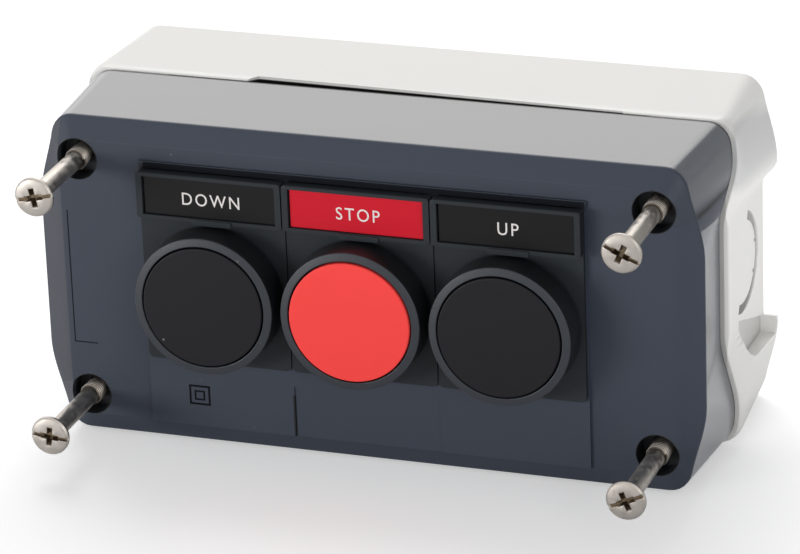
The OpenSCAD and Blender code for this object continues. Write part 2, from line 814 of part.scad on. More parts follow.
// Height of the bridge's middle at rest: in front of the strips where pressing closes the
// contact, and behind them where pressing opens it
function bridge_z(closes) =
    closes ? strip_z + rivet_gap + travel + closed_gap : strip_z - rivet_gap - closed_gap;

module contact_block() {
    cut_len = block_len - block_wall - block_cover;
    inner_x = -block_len / 2 + block_wall;
    terminal_room = strip_z + terminal_shank_len + end_gap - block_back_z - block_wall;
    stand() color([0.80, 0.80, 0.78]) difference() {
        translate([-block_len / 2, -block_high / 2, block_back_z])
            cube([block_len - block_cover, block_high, block_deep]);
        translate([inner_x, -chamber_half, block_back_z + block_wall])
            cube([cut_len + over, 2 * chamber_half, block_deep - 2 * block_wall]);
        for (side = [0, 1]) mirror([0, side, 0]) {
            translate([inner_x, chamber_half + block_wall, block_back_z + block_wall])
                cube([cut_len + over, pocket_y - chamber_half - block_wall, terminal_room]);
            translate([inner_x, 0, strip_z - strip_thick / 2 - closed_gap])
                cube([cut_len + over, terminal_y, strip_thick + 2 * closed_gap]);
            translate([0, terminal_y, block_back_z - over])
                cylinder(r = terminal_head_r + closed_gap, h = block_wall + 2 * over);
            translate([inner_x, terminal_y, strip_z - strip_thick / 2 - wire_entry])
                cube([cut_len - block_wall, block_high, wire_entry]);
        }
        translate([0, 0, collar_back_z - 2 * block_wall])
            cylinder(r = plunger_r + plunger_play, h = 2 * block_wall + over);
    }
}

module block_cover_piece() {
    stand() color([0.74, 0.74, 0.72])
        translate([block_len / 2 - block_cover, -block_high / 2, block_back_z])
            cube([block_cover, block_high, block_deep]);
}

module contact_strips() {
    stand() color([0.78, 0.60, 0.28]) for (side = [0, 1]) mirror([0, side, 0]) difference() {
        union() {
            translate([-strip_wide / 2, strip_inner, strip_z - strip_thick / 2])
                cube([strip_wide, pocket_y - closed_gap - strip_inner, strip_thick]);
            translate([0, rivet_y, strip_z - strip_thick / 2 - rivet_high])
                cylinder(r = rivet_r, h = strip_thick + 2 * rivet_high);
        }
        translate([0, terminal_y, strip_z - strip_thick])
            cylinder(r = terminal_shank_r + plunger_play, h = 2 * strip_thick);
    }
}

module terminal_screws() {
    head_back_z = strip_z - strip_thick / 2 - terminal_head_high;
    stand() color([0.70, 0.71, 0.73]) for (side = [0, 1]) mirror([0, side, 0])
        translate([0, terminal_y, head_back_z]) difference() {
            union() {
                cylinder(r = terminal_head_r, h = terminal_head_high);
                cylinder(r = terminal_shank_r, h = terminal_head_high + terminal_shank_len);
            }
            translate([-terminal_head_r - over, -terminal_shank_r / 4, -over])
                cube([2 * (terminal_head_r + over), terminal_shank_r / 2, over + terminal_head_high / 2]);
        }
}

tail_back_z = block_back_z + block_wall + travel + end_gap;

module contact_plunger(closes) {
    seat_z = bridge_z(closes) - strip_thick / 2;
    stand() color([0.90, 0.88, 0.80]) {
        translate([0, 0, seat_z + strip_thick])
            cylinder(r = plunger_r, h = stem_back_z - seat_z - strip_thick);
        translate([0, 0, tail_back_z])
            cylinder(r = tail_r, h = seat_z + 2 * strip_thick - tail_back_z);
    }
}

module contact_bridge(closes) {
    bridge_len = 2 * (rivet_y + rivet_r);
    stand() color([0.78, 0.60, 0.28]) translate([0, 0, bridge_z(closes)]) difference() {
        union() {
            translate([-strip_wide / 2, -bridge_len / 2, -strip_thick / 2])
                cube([strip_wide, bridge_len, strip_thick]);
            for (y = [-rivet_y, rivet_y]) translate([0, y, -rivet_high - strip_thick / 2])
                cylinder(r = rivet_r, h = strip_thick + 2 * rivet_high);
        }
        translate([0, 0, -strip_thick]) cylinder(r = tail_r + plunger_play, h = 2 * strip_thick);
    }
}

contact_low = block_back_z + block_wall + spring_seat;

module contact_spring(closes) {
    high = bridge_z(closes) - strip_thick / 2 - spring_seat;
    stand() color([0.72, 0.73, 0.75])
        coil(tail_r + contact_play + contact_wire_r, contact_wire_r, contact_low, high,
            ceil((high - contact_low) * contact_turns_share));
}

// The cover screws, drawn out as far as they go

module cover_screw(place) {
    front_z = box_deep - screw_sunk + screw_travel;
    thread_front_z = front_z - screw_len + screw_thread_len;
    stand() color([0.74, 0.73, 0.70])
        translate([place[1] * screw_x, place[2] * screw_y, 0]) difference() {
            rotate_extrude() polygon([
                [0, front_z - screw_len],
                [screw_thread_r - screw_slot_wide / 2, front_z - screw_len],
                [screw_thread_r, front_z - screw_len + screw_slot_wide / 2],
                [screw_thread_r, thread_front_z],
                [screw_shank_r, thread_front_z + screw_slot_wide / 2],
                [screw_shank_r, front_z - screw_head_high],
                [screw_head_r, front_z - screw_head_high / 2],
                [screw_head_r, front_z - screw_slot_wide / 4],
                [screw_head_r - screw_slot_wide / 4, front_z],
                [0, front_z]
            ]);
            translate([-screw_head_r - over, -screw_slot_wide / 2, front_z - screw_slot_deep])
                cube([2 * (screw_head_r + over), screw_slot_wide, screw_slot_deep + over]);
            translate([-screw_slot_wide / 2, -screw_shank_r, front_z - screw_slot_deep])
                cube([screw_slot_wide, 2 * screw_shank_r, screw_slot_deep + over]);
        }
}

echo("least gap of the return spring to itself",
    coil_gap(return_r, return_wire_r, return_low, return_high, return_turns));

black = [0.15, 0.15, 0.16];
red = [0.93, 0.27, 0.25];
legend_red = [0.80, 0.12, 0.19];

rear_box();
screw_inserts();
box_gasket();
front_cover();
clamp_screws();
for (i = [0:2]) {
    name = STATIONS[i][0];
    closes = STATIONS[i][1];
    at_station(i) {
        legend_holder();
        legend_plate(closes ? black : legend_red);
        button_head();
        head_seal();
        fixing_collar();
        contact_block();
        block_cover_piece();
        contact_strips();
        terminal_screws();
        return_spring();
        contact_spring(closes);
        button_cap(closes ? black : red);
        contact_plunger(closes);
        contact_bridge(closes);
    }
}
for (place = SCREWS) {
    cover_screw(place);
}
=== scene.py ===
# %% [markdown]
# # A pushbutton control station
#
# The real object is a plastic box, as long as a hand, with three buttons: down, stop and up. Its
# rear half is light grey and screws to a wall. Its dark front half carries the buttons, and is
# photographed with its four captive screws undone and drawn out.
#
# The solids come from CAD. This script loads them as a fixed frame, puts finely finished pieces in
# their places, gives every piece its material, and sets up the camera and the light.

import math

import bpy
from mathutils import Matrix, Vector


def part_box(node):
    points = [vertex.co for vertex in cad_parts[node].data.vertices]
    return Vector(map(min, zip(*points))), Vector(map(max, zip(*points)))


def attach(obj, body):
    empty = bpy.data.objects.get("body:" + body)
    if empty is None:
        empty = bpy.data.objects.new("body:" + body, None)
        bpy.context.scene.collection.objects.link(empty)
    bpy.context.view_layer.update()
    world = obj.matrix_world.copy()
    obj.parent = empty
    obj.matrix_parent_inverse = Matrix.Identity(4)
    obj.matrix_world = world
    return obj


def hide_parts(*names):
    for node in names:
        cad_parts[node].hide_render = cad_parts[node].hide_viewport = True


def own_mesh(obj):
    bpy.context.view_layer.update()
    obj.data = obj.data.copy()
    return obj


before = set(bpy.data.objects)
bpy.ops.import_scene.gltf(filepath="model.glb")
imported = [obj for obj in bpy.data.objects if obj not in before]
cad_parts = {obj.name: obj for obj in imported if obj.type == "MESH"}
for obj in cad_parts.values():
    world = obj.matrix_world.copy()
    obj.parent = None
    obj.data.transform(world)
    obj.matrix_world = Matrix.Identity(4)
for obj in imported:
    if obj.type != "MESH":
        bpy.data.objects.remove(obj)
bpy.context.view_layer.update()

# %% [markdown]
# ## Lengths
#
# Blender counts in metres, and the drawing of this box counts in millimetres. One helper turns a
# place on the drawing (along the box, up the front, out from the wall) into a place in the scene,
# where the front looks towards -Y. The few lengths that several pieces share are named here once.

# %% Lengths from the drawing
MM = 0.001


def at(along, up, out):
    """A place on the drawing, in mm, as a place in the scene, in metres."""
    return Vector((along * MM, -out * MM, up * MM))


STATIONS = {"left": -30.0, "centre": 0.0, "right": 30.0}
COVER_FRONT = 53.0
FIELD_FRONT = 53.5
PLATE_FRONT = 54.2
FRAME_FRONT = 56.1
BEZEL_BACK, BEZEL_FRONT = 54.9, 61.7
LEGEND_UP = 19.95
SCREW_ALONG, SCREW_UP = 58.3, 24.9
SCREW_TIP, HEAD_BACK, HEAD_FRONT, HEAD_R = 36.5, 72.1, 74.5, 3.9
SHANK_R, THREAD_R, THREAD_LOW, THREAD_HIGH, PITCH = 1.8, 2.2, 37.0, 54.0, 0.7
FLOOR_UP = -34.0

# %% [markdown]
# ## The camera
#
# The photograph was taken with a long lens, from the right and from above, close to a metre away.
# These numbers come from matching the box's corners to the photograph. The three rows are the
# camera's right, up and backward directions, which together are its rotation.

# %% Camera
SENSOR_WIDE, LENS = 36, 216.137
CAMERA_PLACE = (0.296631, -0.852437, 0.355544)
CAMERA_ROWS = (Vector((0.944611, 0.326333, -0.034882)),
               Vector((-0.093522, 0.369532, 0.924500)),
               Vector((0.314585, -0.870031, 0.379583)))
camera_data = bpy.data.cameras.new("camera")
camera_data.sensor_width = SENSOR_WIDE
camera_data.lens = LENS
camera = bpy.data.objects.new("camera", camera_data)
bpy.context.scene.collection.objects.link(camera)
turn = Matrix(CAMERA_ROWS).transposed().to_4x4()
camera.matrix_world = Matrix.Translation(CAMERA_PLACE) @ turn
bpy.context.scene.camera = camera
print("camera", round(camera.location.length, 3), "m from the middle of the wall side")

# %% [markdown]
# ## Selecting and finishing
#
# Most of Blender's modelling tools act on whatever is selected, so each step first clears the
# selection and then picks its piece. Faces and edges are picked in code by where they lie and
# which way they look. A finished piece keeps its place in its mesh, with its object at the origin.

# %% Helpers for selecting
def pick(piece):
    """Makes this piece the only selected one, in object mode."""
    if bpy.context.mode != "OBJECT":
        bpy.ops.object.mode_set(mode="OBJECT")
    bpy.ops.object.select_all(action="DESELECT")
    piece.select_set(True)
    bpy.context.view_layer.objects.active = piece


def edit_all():
    """Enters edit mode on the active piece, with all its points selected."""
    bpy.ops.object.mode_set(mode="EDIT")
    bpy.ops.mesh.select_mode(type="VERT")
    bpy.ops.mesh.select_all(action="SELECT")


def pick_none(piece, kind):
    """Deselects all faces or edges of a piece, and leaves it in object mode."""
    pick(piece)
    bpy.ops.object.mode_set(mode="EDIT")
    bpy.ops.mesh.select_all(action="DESELECT")
    bpy.ops.mesh.select_mode(type=kind)
    bpy.ops.object.mode_set(mode="OBJECT")


def pick_faces(piece, test):
    """Selects, in edit mode, the faces whose middle and normal pass a test."""
    pick_none(piece, "FACE")
    for face in piece.data.polygons:
        face.select = test(face.center / MM, face.normal)
    bpy.ops.object.mode_set(mode="EDIT")


def pick_edges(piece, test):
    """Selects, in edit mode, the edges whose two ends pass a test."""
    pick_none(piece, "EDGE")
    points = piece.data.vertices
    for edge in piece.data.edges:
        a, b = (points[i].co / MM for i in edge.vertices)
        edge.select = test(a, b)
    bpy.ops.object.mode_set(mode="EDIT")


# %% Helpers for finishing
SHARP_DEGREES = 35


def apply_modifier(piece, kind, **settings):
    """Adds one modifier with these settings and applies it."""
    pick(piece)
    modifier = piece.modifiers.new(kind.lower(), kind)
    for name, value in settings.items():
        setattr(modifier, name, value)
    bpy.ops.object.modifier_apply(modifier=modifier.name)


def soften(piece, width, segments=2, smooth=40):
    """Rounds the sharp edges by a width in mm, then shades the piece smooth."""
    apply_modifier(piece, "BEVEL", width=width * MM, segments=segments, limit_method="ANGLE",
                   angle_limit=math.radians(SHARP_DEGREES), harden_normals=False)
    pick(piece)
    bpy.ops.object.shade_smooth_by_angle(angle=math.radians(smooth))
    apply_modifier(piece, "WEIGHTED_NORMAL", keep_sharp=True, weight=80)


def cut(piece, cutter):
    """Cuts one piece out of another and throws the cutter away."""
    apply_modifier(piece, "BOOLEAN", object=cutter, operation="DIFFERENCE", solver="EXACT")
    bpy.data.objects.remove(cutter)


def join(piece, *others):
    """Joins other pieces to this one."""
    pick(piece)
    for other in others:
        other.select_set(True)
    bpy.ops.object.join()


def copied(piece, name, along=0.0):
    """A copy with its own mesh, moved along the box by a length in mm."""
    twin = piece.copy()
    twin.data = piece.data.copy()
    bpy.context.scene.collection.objects.link(twin)
    twin.data.transform(Matrix.Translation(at(along, 0, 0)))
    twin.name = twin.data.name = name
    return twin


# %% [markdown]
# ## Simple starts
#
# Blocks start from a cube of the right size, and round pieces from an outline that is spun round
# its axis. The outline is drawn as on a lathe: from one point, pushed on corner by corner. Springs
# and threads start from a small circle that a Screw modifier carries round the axis.

# %% Helpers for blocks, turned pieces and wound wire
WIND_STEPS = 28
WIRE_DEGREES = 50


def block(name, low, high):
    """A box between two corners that are given on the drawing, in mm."""
    bpy.ops.object.select_all(action="DESELECT")
    a, b = at(*low), at(*high)
    bpy.ops.mesh.primitive_cube_add(size=1, location=(a + b) / 2)
    piece = bpy.context.object
    piece.scale = [abs(v) for v in (b - a)]
    bpy.ops.object.transform_apply(location=True, rotation=True, scale=True)
    piece.name = piece.data.name = name
    return piece


def turned(name, outline, steps):
    """A round piece about the axis along - y, from (radius, height) corners in mm."""
    bpy.ops.object.select_all(action="DESELECT")
    bpy.ops.mesh.primitive_plane_add(size=MM)
    piece = bpy.context.object
    edit_all()
    bpy.ops.mesh.merge(type="CENTER")
    corners = [at(radius, 0, height) for radius, height in outline]
    bpy.ops.transform.translate(value=corners[0])
    for here, there in zip(corners, corners[1:]):
        bpy.ops.mesh.extrude_region_move(TRANSFORM_OT_translate={"value": there - here})
    bpy.ops.mesh.select_all(action="SELECT")
    bpy.ops.mesh.spin(steps=steps, angle=2 * math.pi, center=(0, 0, 0), axis=(0, 1, 0))
    bpy.ops.mesh.select_all(action="SELECT")
    bpy.ops.mesh.remove_doubles(threshold=MM / 1000)
    bpy.ops.mesh.normals_make_consistent(inside=False)
    bpy.ops.object.mode_set(mode="OBJECT")
    piece.name = piece.data.name = name
    return piece


def wound(name, radius, wire, low, high, turns, corners):
    """A wire of a few corners, wound round the axis along - y between two heights in mm."""
    bpy.ops.object.select_all(action="DESELECT")
    bpy.ops.mesh.primitive_circle_add(vertices=corners, radius=wire * MM)
    piece = bpy.context.object
    edit_all()
    bpy.ops.transform.translate(value=at(radius, 0, low + wire))
    bpy.ops.object.mode_set(mode="OBJECT")
    apply_modifier(piece, "SCREW", axis="Y", angle=2 * math.pi, iterations=turns,
                   screw_offset=-(high - low - 2 * wire) * MM / turns, steps=WIND_STEPS,
                   render_steps=WIND_STEPS, use_normal_calculate=True)
    pick(piece)
    edit_all()
    bpy.ops.mesh.fill_holes(sides=corners)
    bpy.ops.mesh.normals_make_consistent(inside=False)
    bpy.ops.object.mode_set(mode="OBJECT")
    bpy.ops.object.shade_smooth_by_angle(angle=math.radians(WIRE_DEGREES))
    piece.name = piece.data.name = name
    return piece


# %% [markdown]
# ## Nodes and masks
#
# A mask is a number from 0 to 1 that says where on a piece an effect shows. Most masks here are
# ramps on the place of a point on the drawing, multiplied where several must hold at once. The
# four cover screws lie alike to the left and right, above and below, so one distance, taken from
# the place along and up without their signs, finds them all.

# %% Helpers for nodes
def add_node(tree, kind, links=(), **values):
    """A node with these input values, and links given as (input, socket) pairs."""
    node = tree.nodes.new(kind)
    for name, value in values.items():
        if name in node.inputs:
            node.inputs[name].default_value = value
        else:
            setattr(node, name, value)
    for name, socket in links:
        tree.links.new(socket, node.inputs[name])
    return node


def sums(tree, operation, *terms):
    """A Math node whose inputs are sockets or plain numbers. Returns its value."""
    node = add_node(tree, "ShaderNodeMath", operation=operation)
    for i, term in enumerate(terms):
        if isinstance(term, (int, float)):
            node.inputs[i].default_value = term
        else:
            tree.links.new(term, node.inputs[i])
    return node.outputs[0]


def mapped(tree, value, low, high, to_low=0.0, to_high=1.0):
    """A value carried from one range to another and held at its ends."""
    node = add_node(tree, "ShaderNodeMapRange", links=[("Value", value)])
    for label, number in (("From Min", low), ("From Max", high),
                          ("To Min", to_low), ("To Max", to_high)):
        node.inputs[label].default_value = number
    return node.outputs[0]


def laid_over(tree, mask, under, over):
    """A fixed colour over a colour socket, where a mask is 1. Returns the result."""
    mix = add_node(tree, "ShaderNodeMix", data_type="RGBA")
    mix.inputs[7].default_value = over
    tree.links.new(mask, mix.inputs[0])
    tree.links.new(under, mix.inputs[6])
    return mix.outputs[2]


# %% Helpers for masks
def ramp(tree, length, start, end):
    """0 up to the start, 1 from the end on, both in mm. The end may be the lower."""
    return mapped(tree, length, start * MM, end * MM)


def product(tree, *masks):
    """Where all of these masks hold at once."""
    whole = masks[0]
    for mask in masks[1:]:
        whole = sums(tree, "MULTIPLY", whole, mask)
    return whole


def inverse(tree, mask):
    """Where a mask doesn't hold."""
    return sums(tree, "SUBTRACT", 1, mask)


def tinted(tree, shader, mask, tint):
    """Lays a colour over the shader's own where a mask is 1."""
    own = shader.inputs["Base Color"].links[0].from_socket
    tree.links.new(laid_over(tree, mask, own, tint), shader.inputs["Base Color"])


def places(tree):
    """Where a point lies on the drawing. "side" and "level" have a sign, "along" and "up" none."""
    place = add_node(tree, "ShaderNodeTexCoord").outputs["Object"]
    split = add_node(tree, "ShaderNodeSeparateXYZ", links=[("Vector", place)]).outputs
    along, up = sums(tree, "ABSOLUTE", split["X"]), sums(tree, "ABSOLUTE", split["Z"])
    flat = add_node(tree, "ShaderNodeCombineXYZ", links=[("X", along), ("Z", up)])
    gap = add_node(tree, "ShaderNodeVectorMath", operation="DISTANCE",
                   links=[(0, flat.outputs[0])])
    gap.inputs[1].default_value = at(SCREW_ALONG, SCREW_UP, 0)
    return {"side": split["X"], "level": split["Z"], "out": sums(tree, "MULTIPLY", split["Y"], -1),
            "along": along, "up": up, "from_screw": gap.outputs["Value"]}


# %% [markdown]
# ## Shared effects
#
# Three effects return in many of the finishes, so each is built once as a node group with named
# inputs. **Moulded grain** is the fine tooth that a spark-eroded mould leaves. **Tone drift** makes
# a colour a little uneven, as real pigment is. **Dust** scatters rare pale specks.

# %% An empty group
FLOAT, COLOUR, VECTOR = "NodeSocketFloat", "NodeSocketColor", "NodeSocketVector"


def new_group(name, inputs, outputs):
    """An empty group with these (name, kind, value) sockets. Returns it and its two ends."""
    group = bpy.data.node_groups.new(name, "ShaderNodeTree")
    for label, kind, value in inputs:
        socket = group.interface.new_socket(name=label, in_out="INPUT", socket_type=kind)
        if value is not None:
            socket.default_value = value
    for label, kind in outputs:
        group.interface.new_socket(name=label, in_out="OUTPUT", socket_type=kind)
    start, end = group.nodes.new("NodeGroupInput"), group.nodes.new("NodeGroupOutput")
    return group, start.outputs, end.inputs


# %% Moulded grain
grain_group, given, result = new_group(
    "moulded_grain",
    [("Vector", VECTOR, None), ("Fineness", FLOAT, 3000.0), ("Waviness", FLOAT, 60.0),
     ("Wave share", FLOAT, 0.3)],
    [("Height", FLOAT), ("Tooth", FLOAT)])
tooth = add_node(grain_group, "ShaderNodeTexNoise", Detail=2.0, Roughness=0.6,
                 links=[("Vector", given["Vector"]), ("Scale", given["Fineness"])]).outputs[0]
wave = add_node(grain_group, "ShaderNodeTexNoise", Detail=1.0,
                links=[("Vector", given["Vector"]), ("Scale", given["Waviness"])]).outputs[0]
wave_part = sums(grain_group, "MULTIPLY", wave, given["Wave share"])
grain_group.links.new(sums(grain_group, "ADD", tooth, wave_part), result["Height"])
grain_group.links.new(tooth, result["Tooth"])

# %% Tone drift
drift_group, given, result = new_group(
    "tone_drift",
    [("Vector", VECTOR, None), ("Colour", COLOUR, (0.5, 0.5, 0.5, 1)), ("Scale", FLOAT, 30.0),
     ("Amount", FLOAT, 0.1)],
    [("Colour", COLOUR)])
cloud = add_node(drift_group, "ShaderNodeTexNoise", Detail=3.0,
                 links=[("Vector", given["Vector"]), ("Scale", given["Scale"])]).outputs[0]
centred = sums(drift_group, "SUBTRACT", cloud, 0.5)
brightness = sums(drift_group, "MULTIPLY_ADD", centred, given["Amount"], 1.0)
drifted = add_node(drift_group, "ShaderNodeVectorMath", operation="SCALE",
                   links=[(0, given["Colour"]), ("Scale", brightness)])
drift_group.links.new(drifted.outputs[0], result["Colour"])

# %% Dust
DUST_COLOUR = (0.55, 0.55, 0.53, 1)
dust_group, given, result = new_group(
    "dust",
    [("Vector", VECTOR, None), ("Colour", COLOUR, (0.5, 0.5, 0.5, 1)), ("Amount", FLOAT, 0.5)],
    [("Colour", COLOUR)])
cells = add_node(dust_group, "ShaderNodeTexVoronoi", Scale=230.0, Randomness=1.0,
                 links=[("Vector", given["Vector"])])
speck = mapped(dust_group, cells.outputs["Distance"], 0.03, 0.06, 1.0, 0.0)
patch = add_node(dust_group, "ShaderNodeTexNoise", Scale=90.0, links=[("Vector", given["Vector"])])
rare = mapped(dust_group, patch.outputs[0], 0.58, 0.66)
specks = product(dust_group, speck, rare, given["Amount"])
dust_group.links.new(laid_over(dust_group, specks, given["Colour"], DUST_COLOUR), result["Colour"])
print("shared effects:", [g.name for g in bpy.data.node_groups])

# %% [markdown]
# ## Plastics
#
# Every moulded piece is a plastic with the same build: one colour that drifts a little, dust on
# top, a fine grain that the bump carries, and a roughness that follows the grain. What differs is
# in the numbers. Colours are written as they look on a screen and turned into linear light.

# %% The plastic finish
TONE_SCALE, WAVE_SHARE, ROUGH_SPREAD, GRAIN_DEEP = 45.0, 0.4, 0.1, 0.05


def colour(red, green, blue):
    """A screen colour from 0 to 255 as linear light."""
    def linear(v):
        v = v / 255
        return v / 12.92 if v < 0.04045 else ((v + 0.055) / 1.055) ** 2.4
    return (linear(red), linear(green), linear(blue), 1)


def new_material(name, tint):
    """A material with its Principled shader, whose viewport colour is the tint."""
    material = bpy.data.materials.new(name)
    material.use_nodes = True
    material.diffuse_color = tint
    return material, material.node_tree, material.node_tree.nodes["Principled BSDF"]


def plastic(name, tint, roughness, grain=0.25, fineness=3200.0, waviness=70.0, drift=0.08,
            dust=0.5, ior=1.5):
    """A moulded plastic. Returns the material, its tree and its shader."""
    material, tree, shader = new_material(name, tint)
    shader.inputs["IOR"].default_value = ior
    place = add_node(tree, "ShaderNodeTexCoord").outputs["Object"]
    drifting = add_node(tree, "ShaderNodeGroup", node_tree=drift_group, Colour=tint,
                        Scale=TONE_SCALE, Amount=drift, links=[("Vector", place)])
    dusty = add_node(tree, "ShaderNodeGroup", node_tree=dust_group, Amount=dust,
                     links=[("Vector", place), ("Colour", drifting.outputs["Colour"])])
    tree.links.new(dusty.outputs["Colour"], shader.inputs["Base Color"])
    grainy = add_node(tree, "ShaderNodeGroup", node_tree=grain_group, Fineness=fineness,
                      Waviness=waviness, links=[("Vector", place)])
    grainy.inputs["Wave share"].default_value = WAVE_SHARE
    rough = mapped(tree, grainy.outputs["Tooth"], 0.0, 1.0,
                   roughness - ROUGH_SPREAD, roughness + ROUGH_SPREAD)
    tree.links.new(rough, shader.inputs["Roughness"])
    bump = add_node(tree, "ShaderNodeBump", Strength=grain, Distance=GRAIN_DEEP * MM,
                    links=[("Height", grainy.outputs["Height"])])
    tree.links.new(bump.outputs[0], shader.inputs["Normal"])
    return material, tree, shader


# %% [markdown]
# The front cover is one moulding with two finishes. Its face is matt and dark blue-grey, and its
# sides are polished, so that seen at a low angle the long side mirrors the light room. The change
# comes at the edge of the face, so a ramp on the distance from the wall drives both the roughness
# and a clear coat. The underside of the bulge at the top of each end, between two sloping lines,
# is dull, and below it hands have rubbed some of the polish off.

# %% Cover plastic: dull and polished places
SIDE_ROUGH = 0.28
cover_plastic, tree, shader = plastic(
    "cover_plastic", colour(51, 58, 71), 0.5, grain=0.3, drift=0.1, dust=0.2, ior=1.42)
where = places(tree)
behind_face = ramp(tree, where["out"], 50.3, 49.9)
outside_holes = ramp(tree, where["from_screw"], 4.28, 4.4)
at_end = ramp(tree, where["along"], 61, 61.5)
fold_line = sums(tree, "MULTIPLY_ADD", where["out"], 0.113, 17.38 * MM)
ledge_line = sums(tree, "MULTIPLY_ADD", where["out"], 0.223, 9.4 * MM)
over_fold = sums(tree, "SUBTRACT", where["level"], fold_line)
over_ledge = sums(tree, "SUBTRACT", where["level"], ledge_line)
under_bulge = product(tree, ramp(tree, over_fold, 3, 0.6), at_end, ramp(tree, over_ledge, 0, 0.2))
rubbed = product(tree, at_end, ramp(tree, over_ledge, 0.2, 0), ramp(tree, where["level"], -27, -10))
half_rubbed = sums(tree, "MULTIPLY_ADD", rubbed, -0.5, 1)
parting = ramp(tree, where["out"], 26.35, 26.15)
coated = product(tree, behind_face, outside_holes, inverse(tree, under_bulge), half_rubbed,
                 inverse(tree, parting))

# %% Cover plastic: clear coat and roughness
tree.links.new(coated, shader.inputs["Coat Weight"])
shader.inputs["Coat Roughness"].default_value = 0.12
shader.inputs["Coat IOR"].default_value = 1.85
polished = add_node(tree, "ShaderNodeMix", data_type="FLOAT")
polished.inputs[3].default_value = SIDE_ROUGH
tree.links.new(coated, polished.inputs[0])
tree.links.new(shader.inputs["Roughness"].links[0].from_socket, polished.inputs[2])
tree.links.new(polished.outputs[0], shader.inputs["Roughness"])

# %% [markdown]
# Painted shade darkens the screw holes, the joint with the rear box, the fold under each bulge,
# the gap over the holders and the line below the field. Painted light makes the bevel at the left
# end the palest part of the front. Each of these is a mask with a colour of its own.

# %% Cover plastic: painted shade and painted light
on_field = ramp(tree, where["out"], 52.9, 53.1)
fold = product(tree, ramp(tree, over_fold, 1.7, 0.5), ramp(tree, over_fold, -0.5, 0.1), at_end,
               behind_face)
over_frames = product(tree, ramp(tree, where["level"], 26.3, 25.2),
                      ramp(tree, where["level"], 24, 24.4),
                      ramp(tree, where["along"], 45.4, 44.8), on_field)
panel_line = product(tree, ramp(tree, where["side"], -15.4, -15.25),
                     ramp(tree, where["side"], -14.7, -14.85),
                     ramp(tree, where["level"], -20.2, -20.4), on_field)
left_bevel = product(tree, ramp(tree, where["side"], -61.95, -62.35),
                     ramp(tree, where["out"], 50.6, 50.9))
# Painted shade in the holes, at the joint, in the fold, over the holders and in the panel line;
# painted light on the left bevel.
for mask, tint in ((inverse(tree, outside_holes), colour(26, 28, 32)),
                   (parting, colour(24, 24, 26)),
                   (fold, colour(20, 23, 28)),
                   (over_frames, colour(2, 3, 6)),
                   (panel_line, colour(4, 6, 12)),
                   (left_bevel, colour(74, 77, 85))):
    tinted(tree, shader, mask, tint)
print("cover plastic:", len(tree.nodes), "nodes")

# %% [markdown]
# The rear box is a smooth light grey. Painted shade makes it dark inside the pry slot of each long
# side, darker in the hollow of each end, and a little darker on the upper part of the ends.

# %% Base plastic
base_plastic, tree, shader = plastic("base_plastic", colour(240, 239, 236), 0.34, grain=0.18,
                                     drift=0.02, dust=0.0, waviness=50.0)
where = places(tree)
# Painted shade: dark in the pry slot, darker in the hollow of each end and on the ends' upper part.
in_slot = product(tree, ramp(tree, where["out"], 23.5, 23.6), ramp(tree, where["up"], 33.45, 33.3),
                  ramp(tree, where["up"], 30.4, 30.5), ramp(tree, where["along"], 50, 49))
hollow_shade = product(tree, ramp(tree, where["along"], 62.9, 63.0),
                 ramp(tree, where["along"], 64.6, 64.5), ramp(tree, where["up"], 21, 20.5))
upper_end_shade = product(tree, ramp(tree, where["along"], 65.6, 66.4),
                  ramp(tree, where["level"], 15, 20))
tinted(tree, shader, in_slot, colour(14, 14, 16))
tinted(tree, shader, hollow_shade, colour(204, 203, 200))
tinted(tree, shader, upper_end_shade, colour(214, 214, 214))
print("base plastic:", len(tree.nodes), "nodes")

# %% [markdown]
# The holders and the rings are a greyer and duller plastic than the cover. Painted shade darkens
# the top of the holders and the right side of the last one. The sides of the rings are darker too.

# %% Holder and bezel plastic
holder_plastic, tree, shader = plastic("holder_plastic", colour(46, 50, 54), 0.42, grain=0.3,
                                       drift=0.12, ior=1.25)
where = places(tree)
# Painted shade on the tops of the holders and on the right side of the last one.
shaded = sums(tree, "MAXIMUM", ramp(tree, where["level"], 24.5, 24.66),
              ramp(tree, where["side"], 44.7, 44.82))
tinted(tree, shader, shaded, colour(28, 32, 36))
bezel_plastic, tree, shader = plastic("bezel_plastic", colour(48, 52, 58), 0.4, grain=0.35,
                                      drift=0.08, ior=1.42)
tinted(tree, shader, ramp(tree, places(tree)["out"], 61.2, 61.05), colour(20, 22, 25))

# %% The plain plastics and the rubber
legend_black = plastic("legend_black", colour(14, 13, 15), 0.4, grain=0.12, drift=0.06, ior=1.3)[0]
legend_red = plastic("legend_red", colour(208, 12, 38), 0.4, grain=0.12, drift=0.04, ior=1.3)[0]
legend_white = plastic("legend_white", colour(232, 226, 224), 0.6, grain=0.1, drift=0.03,
                       dust=0.0)[0]
cap_black = plastic("cap_black", colour(20, 19, 24), 0.5, grain=0.2, drift=0.08, dust=0.7,
                    ior=1.3)[0]
cap_red = plastic("cap_red", colour(255, 72, 69), 0.45, grain=0.2, drift=0.03, dust=0.15,
                  ior=1.3)[0]
sign_dark = plastic("sign_dark", colour(5, 7, 12), 0.6, grain=0.1, dust=0.0, ior=1.2)[0]
# The next material colours the thin dark strips that stand for shade on the cover.
painted_shade_dark = plastic("painted_shade_dark", colour(14, 17, 24), 0.6, grain=0.1, dust=0.0, ior=1.2)[0]
seal_rubber = plastic("seal_rubber", colour(22, 22, 23), 0.75, grain=0.5, fineness=1500.0)[0]
collar_plastic = plastic("collar_plastic", colour(196, 198, 198), 0.45, grain=0.4)[0]
block_plastic = plastic("block_plastic", colour(214, 213, 206), 0.5, grain=0.35)[0]
plunger_nylon = plastic("plunger_nylon", colour(238, 232, 208), 0.38, grain=0.2, drift=0.05)[0]
print("plastics:", len(bpy.data.materials))

